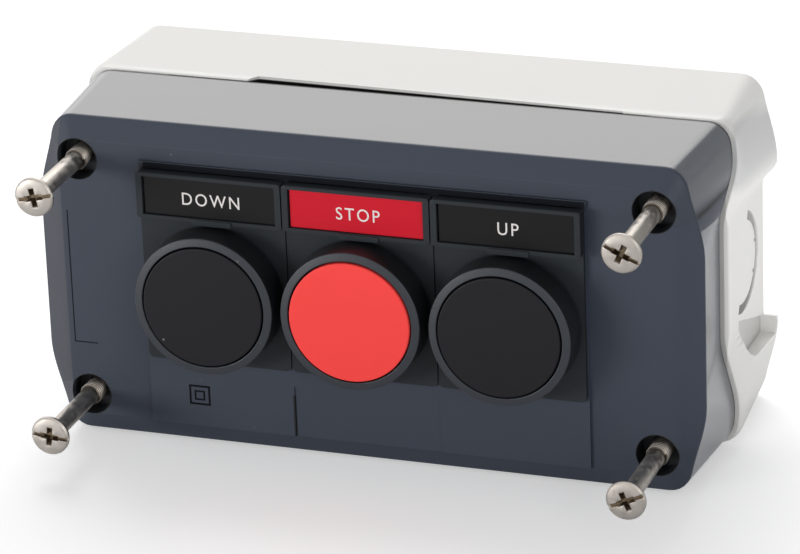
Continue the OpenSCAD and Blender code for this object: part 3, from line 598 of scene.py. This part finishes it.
# %% [markdown]
# ## Metals
#
# Plating is never perfectly even. A turned or rolled piece has fine lines round its axis, and
# handling leaves darker and rougher patches. The same build serves nickel, zinc, brass and spring
# wire, with their own colours and roughness.

# %% The metal finish
TARNISH_SCALE, PATCH_SCALE, LINE_DEEP = 400.0, 700.0, 0.03
LINE_STRETCH = (200, 9000, 200)


def metal(name, tint, roughness, lines=0.15, tarnish=0.15):
    """A plated or bare metal with fine turning lines and uneven patches."""
    material, tree, shader = new_material(name, tint)
    shader.inputs["Metallic"].default_value = 1.0
    place = add_node(tree, "ShaderNodeTexCoord").outputs["Object"]
    drifting = add_node(tree, "ShaderNodeGroup", node_tree=drift_group, Colour=tint,
                        Scale=TARNISH_SCALE, Amount=tarnish, links=[("Vector", place)])
    tree.links.new(drifting.outputs["Colour"], shader.inputs["Base Color"])
    stretch = add_node(tree, "ShaderNodeMapping", Scale=LINE_STRETCH, links=[("Vector", place)])
    turning = add_node(tree, "ShaderNodeTexNoise", Scale=1.0, Detail=2.0,
                       links=[("Vector", stretch.outputs[0])])
    patches = add_node(tree, "ShaderNodeTexNoise", Scale=PATCH_SCALE, Detail=3.0,
                       links=[("Vector", place)])
    rough = mapped(tree, patches.outputs[0], 0.3, 0.7, roughness * 0.7, roughness * 1.4)
    tree.links.new(rough, shader.inputs["Roughness"])
    bump = add_node(tree, "ShaderNodeBump", Strength=lines, Distance=LINE_DEEP * MM,
                    links=[("Height", turning.outputs[0])])
    tree.links.new(bump.outputs[0], shader.inputs["Normal"])
    return material, tree, shader


# %% The plain metals
zinc_steel = metal("zinc_steel", colour(190, 192, 196), 0.3)[0]
spring_steel = metal("spring_steel", colour(165, 166, 170), 0.25)[0]
contact_brass = metal("contact_brass", colour(214, 178, 96), 0.28, lines=0.1)[0]

# %% [markdown]
# The cover screws have old oil in the recesses of their heads and between their threads. In a head
# it lies below the face, inside the rim and inside the cone of the underside. On a thread it lies
# nearer to the axis than the crests.

# %% Nickel plating with old oil
CONE_SLOPE = 1.3
nickel_steel, tree, shader = metal("nickel_steel", colour(183, 177, 170), 0.4, lines=0.08,
                                   tarnish=0.09)
where = places(tree)
cone = sums(tree, "MULTIPLY_ADD", where["out"], CONE_SLOPE, (SHANK_R - CONE_SLOPE * HEAD_BACK) * MM)
in_cone = ramp(tree, sums(tree, "SUBTRACT", where["from_screw"], cone), 0, -0.05)
in_recess = product(tree, in_cone, ramp(tree, where["from_screw"], 3.6, 3.3),
                    ramp(tree, where["out"], 74.4, 74.15))
in_thread = product(tree, ramp(tree, where["from_screw"], 2.18, 2.06),
                    ramp(tree, where["out"], 54.3, 54.0))
tinted(tree, shader, in_recess, colour(114, 101, 84))
tinted(tree, shader, in_thread, colour(92, 85, 77))
print("materials:", len(bpy.data.materials))

# %% [markdown]
# ## Handing a piece over
#
# A finished piece gets its material and moves with one body of the frame. Where it stands for CAD
# nodes, those are hidden. A CAD mesh is loose triangles, so a copy of it is merged before use.

# %% Helpers that hand a piece over
def hand_over(piece, body, slot, material, *nodes):
    """Paints a piece, makes it move with its body, and hides the CAD nodes it stands for."""
    piece.data.materials.clear()
    piece.data.materials.append(material)
    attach(piece, body)
    if nodes:
        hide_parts(*nodes)


def fine_copy(node, name, width, smooth=40):
    """A copy of a CAD node with its loose triangles merged, flats joined and edges rounded."""
    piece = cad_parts[node].copy()
    piece.data = piece.data.copy()
    for key in list(piece.keys()):
        if key.startswith("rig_"):
            del piece[key]
    bpy.context.scene.collection.objects.link(piece)
    piece.parent = None
    piece.matrix_world = Matrix.Identity(4)
    piece.name = piece.data.name = name
    pick(piece)
    bpy.ops.mesh.customdata_custom_splitnormals_clear()
    edit_all()
    bpy.ops.mesh.remove_doubles(threshold=MM / 500)
    bpy.ops.mesh.dissolve_limited(angle_limit=math.radians(0.3), delimit=set())
    bpy.ops.object.mode_set(mode="OBJECT")
    soften(piece, width, smooth=smooth)
    return piece


# %% [markdown]
# ## The two shells
#
# The rear box and the front cover are lofted in CAD from curved outlines, so their shapes are
# right already. What a CAD mesh lacks is smooth shading and the small radius that every moulded
# edge has. A copy of each is merged, its flats are joined, and its edges get that radius.

# %% Rear box
rear_shell = fine_copy("rear_box", "rear_shell", 0.25, smooth=50)
hand_over(rear_shell, "base", "box_grey", base_plastic, "rear_box")
print("rear box:", len(rear_shell.data.polygons), "faces")

# %% Front cover
cover_shell = fine_copy("front_cover", "cover_shell", 0.18)
hand_over(cover_shell, "cover", "cover_grey", cover_plastic, "front_cover")
print("front cover:", len(cover_shell.data.polygons), "faces")

# %% [markdown]
# ## Legend holders
#
# Each button sits on a thin plate with a raised frame for its label. The frame starts as a block.
# Its front is inset, and the inner face pushed back to make the tray for the label. A small bar in
# the middle of the lower edge, just below the frame, holds the label in.

# %% Plate, frame and catch of one holder
HOLDER_LOW, HOLDER_HIGH, HOLDER_HALF, HOLDER_CORNER = -15.0, 24.7, 14.925, 1.1
FRAME_LOW, FRAME_HIGH, FRAME_HALF, FRAME_CORNER = LEGEND_UP - 4.75, LEGEND_UP + 4.75, 14.86, 0.8
TRAY_WALL, TRAY_DEEP, TRAY_HALF = 0.8, 1.4, 13.65
OPENING_R = 11.2
CATCH_LEFT, CATCH_RIGHT = -3.7, 4.6


def plate_with_round_corners(name, low, high, radius):
    """A block whose four upright corners, seen from the front, are rounded."""
    piece = block(name, low, high)
    pick_edges(piece, lambda a, b: abs(a.x - b.x) < 0.01 and abs(a.z - b.z) < 0.01)
    bpy.ops.mesh.bevel(offset=radius * MM, segments=5)
    bpy.ops.object.mode_set(mode="OBJECT")
    return piece


holder = plate_with_round_corners(
    "holder", (-HOLDER_HALF, HOLDER_LOW, FIELD_FRONT), (HOLDER_HALF, HOLDER_HIGH, PLATE_FRONT),
    HOLDER_CORNER)
opening = turned("opening", [(0, 50), (OPENING_R, 50), (OPENING_R, 60), (0, 60)], 64)
cut(holder, opening)
soften(holder, 0.15)
tray = plate_with_round_corners(
    "tray", (-FRAME_HALF, FRAME_LOW, FIELD_FRONT + 0.1), (FRAME_HALF, FRAME_HIGH, FRAME_FRONT),
    FRAME_CORNER)
pick_faces(tray, lambda middle, normal: normal.y < -0.9)
bpy.ops.mesh.inset(thickness=TRAY_WALL * MM)
bpy.ops.transform.resize(value=(TRAY_HALF / (FRAME_HALF - TRAY_WALL), 1, 1))
bpy.ops.mesh.extrude_region_move(TRANSFORM_OT_translate={"value": at(0, 0, -TRAY_DEEP)})
bpy.ops.object.mode_set(mode="OBJECT")
soften(tray, 0.22, 3)
catch = block("catch", (CATCH_LEFT, FRAME_LOW - 0.5, FRAME_FRONT - 1),
              (CATCH_RIGHT, FRAME_LOW + 0.65, FRAME_FRONT + 0.3))
soften(catch, 0.12)
join(holder, tray, catch)
print("legend holder:", len(holder.data.polygons), "faces")

# %% Three legend holders
for station, along in STATIONS.items():
    piece = copied(holder, f"holder_{station}", along)
    hand_over(piece, "cover", "holder_plastic", holder_plastic, f"legend_holder_{station}")
bpy.data.objects.remove(holder)

# %% [markdown]
# ## Labels and words
#
# The labels are engraving stock: a thin coloured face over a white core, so the letters are white.
# The words are plain function words, like those on a switch. A text object has its font's curves,
# so it is turned into a mesh before it is placed.

# %% Labels
LABEL_FRONT, LABEL_THICK = FRAME_FRONT - 0.5, 0.85
LABEL_LEFT, LABEL_RIGHT, LABEL_DOWN, LABEL_TOP = -13.35, 13.62, 3.85, 3.92
LABELS = {"left": (legend_black, "legend_black", "DOWN"),
          "centre": (legend_red, "legend_red", "STOP"),
          "right": (legend_black, "legend_black", "UP")}
label = block("label", (LABEL_LEFT, LEGEND_UP - LABEL_DOWN, LABEL_FRONT - LABEL_THICK),
              (LABEL_RIGHT, LEGEND_UP + LABEL_TOP, LABEL_FRONT))
soften(label, 0.1)
for station, along in STATIONS.items():
    material, slot, word = LABELS[station]
    piece = copied(label, f"label_{station}", along)
    hand_over(piece, "cover", slot, material, f"legend_plate_{station}")
bpy.data.objects.remove(label)
print("labels:", len(LABELS))

# %% Words
WORD_HIGH, WORD_NARROW, WORD_RIGHT, WORD_DROP = 2.55, 0.9, 0.4, 0.1
CAPITAL_SHARE, LETTER_SPACE = 0.72, 1.25
for station, along in STATIONS.items():
    bpy.ops.object.select_all(action="DESELECT")
    bpy.ops.object.text_add()
    word = bpy.context.object
    word.data.body = LABELS[station][2]
    word.data.size = WORD_HIGH * MM / CAPITAL_SHARE
    word.data.align_x = "CENTER"
    word.data.space_character = LETTER_SPACE
    word.data.offset = 0.01 * MM
    word.data.resolution_u = 4
    word.data.extrude = 0.02 * MM
    bpy.ops.object.convert(target="MESH")
    word = bpy.context.object
    heights = [v.co.y for v in word.data.vertices]
    word.data.transform(Matrix.Scale(WORD_HIGH * MM / (max(heights) - min(heights)), 4))
    word.data.transform(Matrix.Scale(WORD_NARROW, 4, (1, 0, 0)))
    word.data.transform(Matrix.Rotation(math.pi / 2, 4, "X"))
    foot = at(along + WORD_RIGHT, LEGEND_UP - WORD_HIGH / 2 - WORD_DROP, LABEL_FRONT)
    word.data.transform(Matrix.Translation(foot))
    word.name = word.data.name = f"word_{station}"
    hand_over(word, "cover", None, legend_white)
    print("word", LABELS[station][2], "is", round(word.dimensions.x / MM, 1), "mm long")

# %% [markdown]
# ## Button heads
#
# A head is one round moulding: a bezel in front of the panel and a barrel that passes through it.
# It is drawn as one outline, like a shape on a lathe, and spun. The cap is a second outline, with
# a skirt and a stem behind its face. It travels inward by 4 mm, so it keeps clear of the bezel.

# %% Bezels with their barrels
BEZEL_R, MOUTH_R, MOUTH_BACK = 14.2, 12.5, 56.1
BARREL_R, BARREL_BACK, BORE_R = 11.0, 40.5, 9.6
GUIDE_R, GUIDE_BACK, GUIDE_FRONT = 5.05, 45.0, 48.0
head = turned("head", [
    (BORE_R, BARREL_BACK), (BARREL_R, BARREL_BACK), (BARREL_R, BEZEL_BACK), (BEZEL_R, BEZEL_BACK),
    (BEZEL_R - 0.08, BEZEL_FRONT - 0.3), (MOUTH_R, BEZEL_FRONT), (MOUTH_R, MOUTH_BACK),
    (BORE_R, MOUTH_BACK), (BORE_R, GUIDE_FRONT), (GUIDE_R, GUIDE_FRONT), (GUIDE_R, GUIDE_BACK),
    (BORE_R, GUIDE_BACK), (BORE_R, BARREL_BACK)], 128)
soften(head, 0.22, 3)
for station, along in STATIONS.items():
    piece = copied(head, f"bezel_{station}", along)
    hand_over(piece, "cover", "bezel_plastic", bezel_plastic, f"button_head_{station}")
print("bezel:", len(head.data.polygons), "faces")
bpy.data.objects.remove(head)

# %% Caps
CAP_R, CAP_BACK, CAP_FRONT = 12.2, 60.3, 61.9
STEM_R, STEM_BACK = 5.0, 43.9
SKIRT_IN, SKIRT_OUT, SKIRT_BACK = 7.9, 9.2, 53.8
CAPS = {"left": (cap_black, "cap_black"), "centre": (cap_red, "cap_red"),
        "right": (cap_black, "cap_black")}
cap = turned("cap", [
    (0, STEM_BACK), (STEM_R, STEM_BACK), (STEM_R, CAP_BACK), (SKIRT_IN, CAP_BACK),
    (SKIRT_IN, SKIRT_BACK), (SKIRT_OUT, SKIRT_BACK), (SKIRT_OUT, CAP_BACK), (CAP_R, CAP_BACK),
    (CAP_R, CAP_FRONT), (CAP_R - 6.2, CAP_FRONT), (0, CAP_FRONT)], 128)
soften(cap, 0.3, 3)
for station, along in STATIONS.items():
    material, slot = CAPS[station]
    piece = copied(cap, f"cap_{station}", along)
    hand_over(piece, f"button_{station}", slot, material, f"button_cap_{station}")
print("cap:", len(cap.data.polygons), "faces")
bpy.data.objects.remove(cap)

# %% Seals behind the bezels
SEAL_IN, SEAL_OUT = 11.25, 13.4
for station, along in STATIONS.items():
    seal = turned(f"seal_{station}", [
        (SEAL_IN, PLATE_FRONT), (SEAL_OUT, PLATE_FRONT), (SEAL_OUT, BEZEL_BACK),
        (SEAL_IN, BEZEL_BACK), (SEAL_IN, PLATE_FRONT)], 64)
    seal.data.transform(Matrix.Translation(at(along, 0, 0)))
    hand_over(seal, "cover", "seal_rubber", seal_rubber, f"head_seal_{station}")
print("seal:", len(seal.data.polygons), "faces")

# %% [markdown]
# ## Springs
#
# A return spring lies behind each cap, and a finer one behind each contact bridge. Both are round
# wire: a small circle carried round the axis by a Screw modifier.

# %% Springs
WIRES = {"return_spring": 0.4, "contact_spring": 0.25}
WIRE_CORNERS, RETURN_TURNS, CONTACT_TURNS_PER_MM = 10, 5, 0.3
for station, along in STATIONS.items():
    for kind, wire in WIRES.items():
        low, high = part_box(f"{kind}_{station}")
        near, far = -high[1] / MM, -low[1] / MM
        radius = (high[2] - low[2]) / 2 / MM - wire
        turns = RETURN_TURNS
        if kind == "contact_spring":
            turns = max(2, round((far - near) * CONTACT_TURNS_PER_MM))
        spring = wound(f"{kind}_wire_{station}", radius, wire, near, far, turns, WIRE_CORNERS)
        spring.data.transform(Matrix.Translation(at(along, 0, 0)))
        hand_over(spring, "cover", "spring_steel", spring_steel, f"{kind}_{station}")
        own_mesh(spring)
        print(spring.name, "is", round(far - near, 2), "mm long with", turns, "turns")

# %% [markdown]
# ## Cover screws
#
# The captive screws are nickel plated, with a smooth shank, a rolled thread towards the tip and a
# countersunk head that takes a flat or a cross driver. The body is spun from an outline. The
# thread is a four-cornered wire wound round it. A straight block cuts the slot, and two tapered
# ones cut the cross.

# %% Head and shank of one cover screw
SLOT_HALF, SLOT_DEEP = 0.38, 0.7
ARM_HALF, ARM_LONG, CROSS_DEEP, CROSS_TAPER = 0.75, 2.5, 1.4, 0.45
screw = turned("screw", [
    (0, SCREW_TIP), (1.3, SCREW_TIP), (SHANK_R, 37.4), (SHANK_R, 71.7), (2.05, HEAD_BACK),
    (3.78, 73.3), (HEAD_R, 73.5), (HEAD_R, 74.0), (3.6, 74.35), (2.4, HEAD_FRONT),
    (0, HEAD_FRONT)], 64)
slot_cutter = block("slot_cutter", (-5, -SLOT_HALF, HEAD_FRONT - SLOT_DEEP),
                    (5, SLOT_HALF, HEAD_FRONT + 1))
cross_cutter = block("cross_cutter", (-ARM_LONG, -ARM_HALF, HEAD_FRONT - CROSS_DEEP),
                     (ARM_LONG, ARM_HALF, HEAD_FRONT + 1))
cross_twin = block("cross_twin", (-ARM_HALF, -ARM_LONG, HEAD_FRONT - CROSS_DEEP),
                   (ARM_HALF, ARM_LONG, HEAD_FRONT + 1))
for cutter in (cross_cutter, cross_twin):
    pick_faces(cutter, lambda middle, normal: normal.y > 0.9)
    bpy.ops.transform.resize(value=(CROSS_TAPER, 1, CROSS_TAPER))
    bpy.ops.object.mode_set(mode="OBJECT")
for cutter in (slot_cutter, cross_cutter, cross_twin):
    cut(screw, cutter)
soften(screw, 0.06)

# %% Thread of one cover screw
SUNK = 0.15
thread = wound("thread", (SHANK_R + THREAD_R) / 2 - SUNK, (THREAD_R - SHANK_R) / 2 + SUNK,
               THREAD_LOW, THREAD_HIGH, round((THREAD_HIGH - THREAD_LOW) / PITCH), 4)
pick(thread)
bpy.ops.object.shade_flat()
join(screw, thread)
print("cover screw:", len(screw.data.polygons), "faces")

# %% Four cover screws, each turned its own way
SCREWS = {"upper_left": (-1, 1, 12), "upper_right": (1, 1, -24),
          "lower_left": (-1, -1, -6), "lower_right": (1, -1, 24)}
for place_name, (side_x, side_z, degrees) in SCREWS.items():
    piece = copied(screw, f"screw_{place_name}_steel")
    piece.data.transform(Matrix.Rotation(math.radians(-degrees), 4, "Y"))
    piece.data.transform(Matrix.Translation(at(side_x * SCREW_ALONG, side_z * SCREW_UP, 0)))
    hand_over(piece, f"screw_{place_name}", "nickel_steel", nickel_steel,
              f"cover_screw_{place_name}")
bpy.data.objects.remove(screw)

# %% [markdown]
# ## Signs on the cover
#
# Low on the left the cover has a double square, the general sign for doubly insulated equipment.
# It is made of thin raised lines. Each square is a plane with its middle inset away and a little
# thickness given to the rest. Thin dark strips along two sides of the plain panel at the left end
# are painted shade.

# %% The double square
OUTER_LINE, INNER_LINE, LINE_THICK = 0.42, 0.36, 0.05


def square_line(name, low, high, line):
    """A thin square frame on the field of the cover, from its (along, up) corners in mm."""
    bpy.ops.object.select_all(action="DESELECT")
    bpy.ops.mesh.primitive_plane_add(size=1, rotation=(math.pi / 2, 0, 0))
    piece = bpy.context.object
    piece.scale = ((high[0] - low[0]) * MM, (high[1] - low[1]) * MM, 1)
    piece.location = at((low[0] + high[0]) / 2, (low[1] + high[1]) / 2, FIELD_FRONT - 0.02)
    bpy.ops.object.transform_apply(location=True, rotation=True, scale=True)
    edit_all()
    bpy.ops.mesh.inset(thickness=line * MM)
    bpy.ops.mesh.delete(type="FACE")
    bpy.ops.mesh.select_all(action="SELECT")
    bpy.ops.mesh.extrude_region_move(TRANSFORM_OT_translate={"value": at(0, 0, LINE_THICK)})
    bpy.ops.mesh.select_all(action="SELECT")
    bpy.ops.mesh.normals_make_consistent(inside=False)
    bpy.ops.object.mode_set(mode="OBJECT")
    piece.name = piece.data.name = name
    return piece


outer = square_line("double_square", (-37.1, -24.5), (-32.7, -20.3), OUTER_LINE)
inner = square_line("inner_square", (-36.0, -23.5), (-33.8, -21.4), INNER_LINE)
join(outer, inner)
hand_over(outer, "cover", "cover_grey", sign_dark)
print("double square:", len(outer.data.polygons), "faces")

# %% Painted shade along two sides of the left panel
THIN = 0.03
# Painted shade: thin dark strips along the left and lower edges of the plain panel.
field_line = block("field_line", (-61.1, -13.9, COVER_FRONT - THIN),
                   (-60.88, 14.0, COVER_FRONT + THIN))
field_foot = block("field_foot", (-60.9, -13.9, COVER_FRONT - THIN),
                   (-56.2, -13.68, COVER_FRONT + THIN))
join(field_line, field_foot)
hand_over(field_line, "cover", "cover_grey", painted_shade_dark)

# %% A dark strip as painted shade in the gap above the three holders
# Painted shade: the strip darkens the gap above the holders, where shade lies.
shade_strip = block("shade_strip", (-44.2, 24.75, FIELD_FRONT - 0.02), (45.0, 25.8, FIELD_FRONT + 0.04))
hand_over(shade_strip, "cover", "cover_grey", painted_shade_dark)
print("gap strip:", round(shade_strip.dimensions.x / MM, 1), "mm long")

# %% [markdown]
# ## Inside
#
# With the cover lifted off, the collars, contact blocks and their small parts can be seen. Their
# shapes are simple and exact in CAD, so copies with rounded edges are enough.

# %% Inner pieces
INNER = {
    "screw_inserts": ("base", "contact_brass", contact_brass, 0.08),
    "box_gasket": ("base", "seal_rubber", seal_rubber, 0.1),
    "clamp_screws": ("cover", "zinc_steel", zinc_steel, 0.08),
}
for station in STATIONS:
    button = f"button_{station}"
    INNER[f"fixing_collar_{station}"] = ("cover", "collar_plastic", collar_plastic, 0.3)
    INNER[f"contact_block_{station}"] = ("cover", "block_plastic", block_plastic, 0.12)
    INNER[f"block_cover_{station}"] = ("cover", "block_plastic", block_plastic, 0.12)
    INNER[f"contact_strips_{station}"] = ("cover", "contact_brass", contact_brass, 0.06)
    INNER[f"terminal_screws_{station}"] = ("cover", "zinc_steel", zinc_steel, 0.08)
    INNER[f"contact_plunger_{station}"] = (button, "plunger_nylon", plunger_nylon, 0.1)
    INNER[f"contact_bridge_{station}"] = (button, "contact_brass", contact_brass, 0.06)
for node, (body, slot, material, width) in INNER.items():
    piece = fine_copy(node, f"{node}_fine", width)
    hand_over(piece, body, slot, material, node)
print("inner pieces:", len(INNER))

# %% [markdown]
# ## Floor and room
#
# The box stands on a white floor in a bright, soft room. To the camera both are white. A mirror
# sees the room white and the floor a little plainer, and everything else sees both plainer still,
# so the light on the object stays level.

# %% Floor
FLOOR_GLOW, MIRRORED_SHARE = 0.41, 0.35
bpy.ops.object.select_all(action="DESELECT")
bpy.ops.mesh.primitive_plane_add(size=8, location=(0, 0, FLOOR_UP * MM))
floor = bpy.context.object
floor.name = floor.data.name = "floor"
floor_paint, tree, shader = new_material("floor_paint", (0.86, 0.86, 0.87, 1))
shader.inputs["Base Color"].default_value = floor_paint.diffuse_color
shader.inputs["Roughness"].default_value = 0.9
shader.inputs["Emission Color"].default_value = (1, 1, 1, 1)
ray = add_node(tree, "ShaderNodeLightPath").outputs
seen = sums(tree, "MULTIPLY_ADD", ray["Is Glossy Ray"], MIRRORED_SHARE, ray["Is Camera Ray"])
tree.links.new(sums(tree, "MULTIPLY", seen, FLOOR_GLOW), shader.inputs["Emission Strength"])
floor.data.materials.append(floor_paint)
print("floor at", round(floor.data.vertices[0].co.z / MM, 1), "mm")

# %% Room
ROOM_LIGHT, ROOM_SEEN = 0.3, 1.0
room = bpy.data.worlds.new("room")
bpy.context.scene.world = room
room.use_nodes = True
tree = room.node_tree
sky = tree.nodes["Background"]
ray = add_node(tree, "ShaderNodeLightPath").outputs
seen = sums(tree, "MAXIMUM", ray["Is Camera Ray"], ray["Is Glossy Ray"])
seen = sums(tree, "MAXIMUM", seen, ray["Is Transmission Ray"])
tree.links.new(mapped(tree, seen, 0.0, 1.0, ROOM_LIGHT, ROOM_SEEN), sky.inputs["Strength"])
sky.inputs["Color"].default_value = (1, 1, 1, 1)


# %% [markdown]
# ## Lamps
#
# Large soft lamps stand in front on the left and on the right, above, and low behind, where the
# polished top mirrors one. Two small sheets of light just over the floor, in front and on the
# right, stand for the light that the white table throws back at the box.

# %% Lamps
TABLE_UP = -0.032


def lamp(name, place, size, power, aim=(0, -0.03, 0), tint=(1, 1, 1), mirrored=True):
    """A large soft lamp that looks at the object and isn't seen by the camera."""
    light = bpy.data.lights.new(name, "AREA")
    light.shape = "RECTANGLE"
    light.size, light.size_y = size
    light.energy = power
    light.color = tint
    stand = bpy.data.objects.new(name, light)
    bpy.context.scene.collection.objects.link(stand)
    stand.location = place
    stand.rotation_euler = (Vector(aim) - Vector(place)).to_track_quat("-Z", "Y").to_euler()
    stand.visible_camera = False
    stand.visible_glossy = mirrored


lamp("front_left", (-0.9, -1.0, 0.1), (0.6, 0.26), 7.2)
lamp("front_right", (0.9, -0.9, 0.35), (0.6, 0.6), 3.0)
lamp("above", (-0.3, 0.75, 1.05), (1.0, 0.8), 9.4)
lamp("low_behind", (-0.42, 1.15, 0.5), (1.3, 0.7), 1.1, tint=(1.0, 0.93, 0.83))
for side, middle, size, power in (("front", (-0.2, -0.42), (0.6, 0.4), 0.45),
                                  ("right", (0.19, 0.0), (0.2, 0.3), 0.17)):
    lamp(f"table_{side}", (*middle, TABLE_UP), size, power, aim=(*middle, 1), mirrored=False)
print("lamps:", [light.name for light in bpy.data.lights])

# %% [markdown]
# ## A grey card
#
# A bright room shows in every polished face. In the photograph the upper part of the cover's right
# end mirrors something darker. A grey card behind on the right gives it that. Only mirrors see it.

# %% Grey card
CARD_SIZE, CARD_PLACE, CARD_DEGREES = 0.3, (0.2135, 0.0455, 0.116), -28
bpy.ops.object.select_all(action="DESELECT")
bpy.ops.mesh.primitive_plane_add(size=CARD_SIZE, location=CARD_PLACE,
                                 rotation=(math.pi / 2, 0, math.radians(CARD_DEGREES)))
card = bpy.context.object
card.name = card.data.name = "grey_card"
card_paint, tree, shader = new_material("card_paint", colour(180, 181, 181))
shader.inputs["Base Color"].default_value = card_paint.diffuse_color
shader.inputs["Roughness"].default_value = 1.0
card.data.materials.append(card_paint)
card.visible_camera = card.visible_diffuse = card.visible_shadow = False

# %% [markdown]
# ## Colours, and the end
#
# With the Standard view a colour renders as it is written.

# %% Colours as written
bpy.context.scene.view_settings.view_transform = "Standard"
